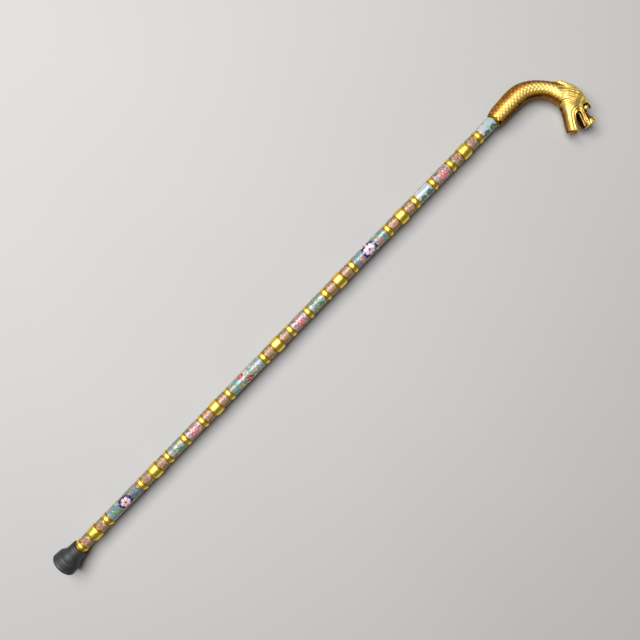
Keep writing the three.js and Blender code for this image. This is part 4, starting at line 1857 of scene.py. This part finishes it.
@dataclass
class HeadDetails:
    """The teeth and the eyes, set into the head.

    The gum's points are a place across and down, a place beside the middle and a tooth's size.
    """

    path: CrookPath
    tooth_count: int = 9
    tooth_length: float = 2.1
    tooth_radius: float = 1.2
    eye_radius: float = 3.1
    eye: tuple[float, float, float] = (90.4, 74.0, 7.0)
    gum: tuple[tuple[float, ...], ...] = (
        (80.9, 72.0, 7.0, 0.75), (78.9, 77.4, 6.9, 0.95), (76.6, 83.8, 6.6, 1.05), (74.9, 89.4, 6.0, 1.1),
    )
    bite: tuple[float, float, float] = (-0.93, 0.36, 0.0)
    # Painted shade on the far row of teeth.
    far_row_shade: float = 0.6

    def tooth_shape(self) -> MeshDraft:
        """Returns one blunt tooth, with its point along X."""
        profile = [(-1.2, 0.0), (-1.2, 1.0), (0.0, 1.0), (1.1, 0.86), (1.9, 0.55), (2.3, 0.25), (2.42, 0.0)]
        points, faces = lathe(profile, Axis(0.0, 0.0), 12)
        scale = np.array([self.tooth_length / profile[-1][0], self.tooth_radius, self.tooth_radius])
        return MeshDraft().add(points * scale, faces, patina=np.clip(0.85 - points[:, 0] * 0.42, 0, 1))

    def teeth(self) -> bpy.types.Mesh:
        """Returns the rows of teeth along the upper jaw, set by a tree, with painted shade on the far row.
        """
        tree = GeometryTree("tooth_rows", {"Shape": "NodeSocketObject", "Count": "NodeSocketInt"})
        wiring, given = tree.wiring, tree.given
        curve = wiring.add("GeometryNodeMeshToCurve", {"Mesh": given["Geometry"]}).outputs[0]
        inputs = {"Curve": curve, "Count": given["Count"]}
        points = wiring.add("GeometryNodeResampleCurve", inputs).outputs[0]
        tangent = wiring.add("GeometryNodeInputTangent").outputs[0]
        tree.stud(points, {"X": tree.named("bite", "FLOAT_VECTOR"), "Y": tangent}, tree.named("girth"))
        across, down, out, size = np.array(self.gum).T
        lines = [(self.path.flat(across, down, side * out), False, size / MM) for side in (-1, 1)]
        host = lines_mesh("tooth_lines", lines)
        store(host, "bite", np.tile(self.bite, (2 * len(size), 1)), "FLOAT_VECTOR")
        made = tree.run_studded(host, self.tooth_shape(), Count=self.tooth_count)
        # The far row gets painted shade.
        shaded_far_row = places_of(made)[:, 2] < self.path.axis.z * MM
        store(made, "patina", np.clip(patina_of(made) + self.far_row_shade * shaded_far_row, 0, 1))
        return made

    def eyes(self) -> MeshDraft:
        """Returns the eyeballs, each with a sunk pupil ring."""
        draft = MeshDraft()
        rows, sides = 20, 32
        lean = np.linspace(0, math.pi, rows + 1)[1:-1]
        leans, turns = (grid.ravel() for grid in np.meshgrid(lean, circle(sides), indexing="ij"))
        ring = np.exp(-(((leans - 0.5) / 0.12) ** 2))
        radius = self.eye_radius * (1 - 0.05 * ring)
        beside = np.append(radius * np.sin(leans), (0, 0))
        turns = np.append(turns, (0, 0))
        over = np.append(radius * np.cos(leans), (self.eye_radius, -self.eye_radius))
        brown = np.clip(0.55 * ring + climb(leans, 1.35, 0.6), 0, 1)
        across, down, out = self.eye
        for side in (-1, 1):
            places = across + beside * np.cos(turns), down + beside * np.sin(turns), side * (out + over)
            faces = ring_faces(rows - 1, sides, True)
            draft.add(self.path.flat(*places), faces, patina=np.append(brown, (0.1, 1.0)))
        return draft

    def build(self) -> None:
        """Builds the teeth and the eyes as pieces of the handle."""
        cast("dragon_teeth", self.teeth(), sharp=50)
        cast("dragon_eyes", self.eyes().mesh("dragon_eyes"), sharp=50)


HEAD_MASSES = (
    Mass(
        (
            (69.5, 14.5, 0, 9.8, 10.4), (79, 27.2, 0, 10.3, 11.4), (84.3, 41.3, 0, 11.9, 12.6),
            (84.2, 52.5, 0, 12.8, 13.4),
        ),
        3,
    ),
    Mass(
        (
            (84.5, 50, 0, 11.5, 13.2), (88, 62, 0, 8.6, 11.8), (85.2, 71.6, 0, 6.6, 10.2),
            (82.7, 77.6, 0, 5.9, 9.2), (81.2, 83.6, 0, 6.3, 9), (82, 91.8, 0, 7.7, 9.2),
        ),
        3, 2.6,
    ),
    Mass(
        (
            (79.5, 56, 0, 10, 12.8), (71.2, 66.2, 0, 7.2, 11.2), (64.2, 75, 0, 6.3, 10),
            (58.4, 85.2, 0, 6.4, 9.6),
        ),
        3, 2.8,
    ),
    Mass(((80.5, 59, 0, 5, 11.4), (78.3, 68.8, 0, 3.7, 10.6)), 2.2, 2.8),
    Mass(((91.2, 52, 0, 8.9, 11.8), (94.6, 62, 0, 6.2, 11), (95.2, 69, 0, 3.6, 8.4)), 3, 3.2),
    Mass(
        (
            (97.2, 53.6, 0, 4, 9.8), (96.6, 44, 0, 4.5, 9.2), (94.8, 35, 0, 3.8, 7.6),
            (93, 27, 0, 2.6, 5.2), (91.6, 22.6, 0, 1.4, 3),
        ),
        3, 2.6,
    ),
    Mass(((81, 35, 6, 5, 6.2), (84.5, 45, 6, 8, 8.2), (87.5, 55, 5.2, 8.6, 9.2)), 3),
    Mass(
        (
            (91, 57, 7.2, 4.2, 4.6), (94.8, 63, 7.4, 3.3, 3.8), (96.2, 69, 7.6, 2.2, 2.8),
            (95.8, 74, 7.6, 1.6, 2.2), (93.6, 77.6, 7.4, 1.2, 1.8),
        ),
        1.2,
    ),
    Mass(((84, 90.2, 4.6, 4.2, 3.9), (87.6, 90.4, 4.8, 3, 3.2), (89.2, 91.8, 4.6, 1.5, 2)), 1.4),
    Mass(((84, 71.3, 7.6, 2.8, 3.4), (81.4, 77.6, 7.4, 1.9, 2.4), (80.4, 86, 7, 1.8, 2.2)), 1.4),
)
HEAD_PITS = (
    Mass(((91.4, 72.8, 9.2, 4.4, 5.4), (89.5, 75.2, 9, 4.4, 5.4)), 0.6, hollow=True),
    Mass(
        (
            (86.8, 90.3, 8.6, 1.5, 1.9), (86.2, 92, 7.4, 1.3, 2.2), (85.8, 93.8, 6, 1.1, 2.4),
        ),
        0.5, hollow=True,
    ),
    Mass(
        (
            (77.6, 70.8, 0, 2, 6), (74.2, 79.8, 0, 2.4, 6), (72, 92, 0, 2.6, 5.6),
        ),
        0.8, 3, hollow=True,
    ),
)
HEAD_LOCKS = (
    Lock(((98.6, 58), (95.8, 48.9), (90.4, 38.7), (85.4, 31), (80.4, 24.6)), (1.8, 1.5, 0.6)),
    Lock(((97.6, 58), (94, 49.5), (88, 40.5), (81.6, 34), (75.4, 29.6)), (1.7, 1.4, 0.6)),
    Lock(((98.8, 57), (96.6, 47), (93.2, 37.5), (88.8, 29), (84, 21.6)), (1.6, 1.4, 0.6)),
    Lock(((99.2, 56), (98, 46), (95.4, 36.5), (92, 28), (87.6, 20.4)), (1.5, 1.4, 0.5)),
    Lock(((100, 55.6), (99.4, 46), (97.4, 37), (94.2, 29), (90.8, 22)), (1.4, 1.3, 0.5)),
    Lock(((92.5, 59.5), (89.5, 50), (84.5, 42), (78, 37.4), (72, 35.4)), (1.5, 1.3, 0.5)),
    Lock(((88, 61), (85, 52.5), (79.6, 46), (73.4, 42.8)), (1.3, 1.1, 0.4)),
)


# The enamel patterns

WHITE = (0.66, 0.6, 0.66)
BLUSH = (0.6, 0.27, 0.34)
BRICK = (0.22, 0.022, 0.018)
ROSE = (0.4, 0.022, 0.075)
NAVY = (0.012, 0.015, 0.11)
SKY = (0.17, 0.3, 0.37)
TURQUOISE = (0.1, 0.25, 0.28)
PERIWINKLE = (0.095, 0.125, 0.235)
PLUM = (0.09, 0.024, 0.17)
LEAF = (0.025, 0.13, 0.04)
LIME = (0.22, 0.3, 0.05)
TEAL = (0.005, 0.1, 0.115)
PINE = (0.008, 0.065, 0.04)
CREAM = (0.6, 0.54, 0.4)
TAN = (0.29, 0.245, 0.21)
MIST = (0.41, 0.42, 0.44)
FERN = (0.11, 0.29, 0.14)
SHELL = (0.6, 0.3, 0.37)

SPECKLED = Pattern(
    Palette(
        # The dark second ground colour is painted shade at the bead's sides.
        TAN, (0.06, 0.06, 0.032), (0.2, 0.05, 0.045), (0.42, 0.18, 0.15), CREAM, PINE,
        (0.14, 0.22, 0.12), (0.16, 0.1, 0.08),
    ),
    Slot.SPECKLED,
    (
        Placed(Blossom(2.9), 6.5, -8),
        Placed(Sprig(3.2, 6, False), 6.5, 52, 84),
        Placed(Sprig(3, 6, False), 6.5, -62, 98),
    ),
    (Blossom(2.1), Sprig(1.9, 4, False), Blossom(1.5, 4), Scroll(1.25)),
    True,
)
BLUE_LONG = Palette(TURQUOISE, PERIWINKLE, ROSE, BLUSH, CREAM, LEAF, FERN, NAVY)
WHITE_BLOSSOM = Blossom(11, 6, BLUSH, WHITE, BRICK, NAVY)
CRIMSON_BLOSSOM = Blossom(5.4, 6, BRICK, ROSE, CREAM)
PINK_FILLERS = (Scroll(3.2), Blossom(2.6, 5), Sprig(2.4), Blossom(1.9, 5, BLUSH, WHITE, BRICK), Scroll(1.6))
BLUE_FILLERS = (
    Scroll(3.4), Sprig(2.6, 4, False), Blossom(2.4, 5, NAVY, WHITE, BRICK), Scroll(2), Blossom(1.6),
)
LONG_PATTERNS = (
    Pattern(
        BLUE_LONG,
        Slot.BLUE,
        (
            Placed(WHITE_BLOSSOM, 31, 12, 12),
            Placed(Sprig(4.6, 6), 10.5, -12, 40),
            Placed(Scroll(6), 44.5, 34, 60),
            Placed(Scroll(5.4), 20, 52, 200),
            Placed(Scroll(5.4), 36, -64, 20),
            Placed(Sprig(4.2, 6, False), 49, -24, 150),
            Placed(WHITE_BLOSSOM, 24, 178),
        ),
        BLUE_FILLERS,
    ),
    Pattern(
        Palette(TURQUOISE, SKY, ROSE, BLUSH, CREAM, LEAF, LIME, PLUM),
        Slot.BLUE,
        (
            Placed(CRIMSON_BLOSSOM, 23, -42),
            Placed(CRIMSON_BLOSSOM, 31, 44),
            Placed(Sprig(4.8, 6), 13, 4, 20),
            Placed(Scroll(3.8), 30, -4, 100),
            Placed(Blossom(4.6, 5, PLUM, CREAM, LIME), 44, 4),
            Placed(Blossom(6.4, 6, PLUM, BLUSH, CREAM, TEAL), 22, 165),
        ),
        PINK_FILLERS,
    ),
    Pattern(
        Palette((0.12, 0.2, 0.3), TURQUOISE, ROSE, BLUSH, CREAM, LEAF, FERN, NAVY),
        Slot.BLUE,
        (
            Placed(Blossom(12.8, 7, (0.46, 0.32, 0.46), WHITE, BRICK, NAVY), 27, 4, 8),
            Placed(Sprig(4, 6), 43, -30, 30),
            Placed(Blossom(3.8, 5, BRICK, BLUSH, CREAM), 44.5, 14),
            Placed(Blossom(3.4, 5), 11, 30),
            Placed(Scroll(3.6), 10, -22, 200),
            Placed(Scroll(5), 36, 62, 200),
            Placed(WHITE_BLOSSOM, 22, 186),
        ),
        BLUE_FILLERS,
    ),
)
BLUE_MIDDLE = Pattern(
    # The dark second ground colour is painted shade at the bead's sides.
    Palette((0.27, 0.34, 0.34), (0.08, 0.14, 0.12), LEAF, TEAL, CREAM, LEAF, (0.08, 0.26, 0.17), TEAL),
    Slot.BLUE,
    (
        Placed(Scroll(5), 8, -14, 40),
        Placed(Scroll(5), 17, 36, 200),
        Placed(Sprig(3.8, 6, False), 18, -28, 70),
    ),
    (Sprig(2.8, 4), Blossom(2.6, 5, MIST, WHITE, BRICK), Scroll(2.4), Scroll(1.5)),
    True,
)
ROSE_MIDDLE = Pattern(
    Palette(
        # The dark second ground colour is painted shade at the bead's sides.
        (0.36, 0.37, 0.42), (0.15, 0.14, 0.17), BRICK, (0.52, 0.06, 0.17), CREAM, LEAF,
        (0.1, 0.24, 0.13), NAVY,
    ),
    Slot.ROSE,
    (
        Placed(Blossom(7.6, 6, ROSE, SHELL, CREAM), 12.5, 8, 10),
        Placed(Scroll(4.6), 6, -44, 20),
        Placed(Scroll(4.4), 18, 62, 200),
        Placed(Blossom(7, 6, ROSE, SHELL, CREAM), 12.5, 186),
    ),
    (Scroll(2.8), Sprig(2.4, 4), Blossom(1.9), Scroll(1.5)),
    True,
)
PALE_MIDDLE = Pattern(
    Palette(MIST, (0.28, 0.4, 0.4), LEAF, TEAL, CREAM, PINE, (0.1, 0.21, 0.17), PINE),
    Slot.PALE,
    (
        Placed(Scroll(7.4), 7.2, 46, 150),
        Placed(Scroll(7.4), 18, 40, -30),
        Placed(Bare(5.6), 7.5, -20),
        Placed(Bare(5.6), 17.5, -24),
        Placed(Sprig(3.6, 6, False), 9, -74, 10),
    ),
    (Scroll(3.2), Sprig(2.6, 4, False), Scroll(2)),
)
MIDDLE_PATTERNS = (
    BLUE_MIDDLE, ROSE_MIDDLE, ROSE_MIDDLE, BLUE_MIDDLE, PALE_MIDDLE, ROSE_MIDDLE, PALE_MIDDLE,
)


# The studio


@dataclass
class Studio:
    """The pale floor, the soft light and the camera at the photograph's angle."""

    eye: tuple[float, float, float] = (0.0402, -0.0048, 0.9211)
    target: tuple[float, float, float] = (0.0134, 0.0203, 0.0)
    right_turn: float = -45.87
    lens: float = 38.6
    sensor: float = 36.0
    floor_half: float = 6.0
    sky_colour: Colour = (1.0, 0.98, 0.95)
    sky_strength: float = 0.11
    lamp_place: tuple[float, float, float] = (-0.12, 0.88, 1.98)
    lamp_size: float = 1.75
    lamp_watts: float = 89.0

    def floor(self) -> None:
        """Lays the floor."""
        half = self.floor_half
        mesh = bpy.data.meshes.new("studio_floor")
        corners = [(-half, -half, 0), (half, -half, 0), (half, half, 0), (-half, half, 0)]
        mesh.from_pydata(corners, [], [[0, 1, 2, 3]])
        mesh.materials.append(STUDIO_FLOOR.material())
        placed("studio_floor", mesh)

    def lamp(self) -> None:
        """Hangs a soft square lamp that faces the cane."""
        light = bpy.data.lights.new("overhead_softbox", "AREA")
        light.shape, light.size, light.energy = "SQUARE", self.lamp_size, self.lamp_watts
        lamp = placed("overhead_softbox", light)
        lamp.location = self.lamp_place
        lamp.rotation_euler = (-Vector(self.lamp_place)).to_track_quat("-Z", "Y").to_euler()
        lamp.visible_camera = False

    def sky(self) -> None:
        """Sets an even, dim sky."""
        bpy.context.scene.view_settings.view_transform = "Standard"
        world = bpy.data.worlds.new("studio_sky")
        world.use_nodes = True
        backdrop = world.node_tree.nodes["Background"]
        inputs = {"Color": rgba(self.sky_colour), "Strength": self.sky_strength}
        Wiring(world.node_tree).feed(backdrop, inputs)
        bpy.context.scene.world = world

    def camera(self) -> None:
        """Sets the camera nearly straight over the cane."""
        lens = bpy.data.cameras.new("studio_camera")
        lens.sensor_fit, lens.sensor_width, lens.lens = "HORIZONTAL", self.sensor, self.lens
        lens.dof.use_dof = False
        camera = placed("studio_camera", lens)
        forward = (Vector(self.target) - Vector(self.eye)).normalized()
        turn = math.radians(self.right_turn)
        right = Vector((math.cos(turn), math.sin(turn), 0))
        right = (right - right.dot(forward) * forward).normalized()
        up = right.cross(forward)
        turned = Matrix((right, up, -forward)).transposed().to_4x4()
        camera.matrix_world = Matrix.Translation(self.eye) @ turned
        bpy.context.scene.camera = camera

    def build(self) -> None:
        """Builds the studio."""
        self.floor()
        self.lamp()
        self.sky()
        self.camera()


RING_COUNT, BARREL_COUNT, SMALL_COUNT = 17, 7, 14
RING_SHAPE = {"radius": 9.2, "end_radius": 8.0, "round_length": 3.0, "fullness": 0.8}
BARREL_SHAPE = {"radius": 9.8, "end_radius": 8.1, "round_length": 4.6, "fullness": 0.75}
SEAT_SHAPE = {"radius": 10.4, "end_radius": 9.9, "round_length": 0.6, "fullness": 1.0}
LONG_SEED, MIDDLE_SEED = 40, 60


def build_shaft(axis: Axis) -> None:
    """Builds the beads on the shaft.

    Args:
        axis: the shaft's axis.
    """
    for number in range(1, RING_COUNT + 1):
        GiltBead(f"gilt_ring_{number:02d}", f"gilt_spacer_{number:02d}", axis, **RING_SHAPE).build()
    for number in range(1, BARREL_COUNT + 1):
        GiltBead(f"gilt_barrel_{number:02d}", f"gilt_keg_{number:02d}", axis, **BARREL_SHAPE).build()
    seat = {**SEAT_SHAPE, "body": Body.SEAT, "lip": 0.1, "groove": 0.2}
    GiltBead("seat_ring", "turned_seat_ring", axis, **seat).build()
    wires = swept_tree("cloison_wires", True)
    for number in range(1, SMALL_COUNT + 1):
        EnamelBead(f"small_enamel_{number:02d}", SPECKLED, axis, number).build(wires)
    for number, pattern in enumerate(LONG_PATTERNS, 1):
        EnamelBead(f"long_enamel_{number:02d}", pattern, axis, LONG_SEED + number).build(wires)
    for number, pattern in enumerate(MIDDLE_PATTERNS, 1):
        EnamelBead(f"middle_enamel_{number:02d}", pattern, axis, MIDDLE_SEED + number).build(wires)


def main() -> None:
    """Builds the cane and its studio."""
    logging.basicConfig(level=logging.INFO, format="%(message)s")
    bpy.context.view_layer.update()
    low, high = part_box("core_rod")
    axis = Axis((low.y + high.y) / 2 / MM, (low.z + high.z) / 2 / MM)
    Studio().build()
    RubberTip(axis).build()
    CoreAssembly(axis).build()
    build_shaft(axis)
    path = CrookPath(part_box("dragon_handle")[0].x / MM, axis)
    neck = ScaledNeck(path)
    neck.build()
    DragonHead(neck, HEAD_MASSES, HEAD_LOCKS, HEAD_PITS).build()
    HeadDetails(path).build()


if __name__ == "__main__":
    main()
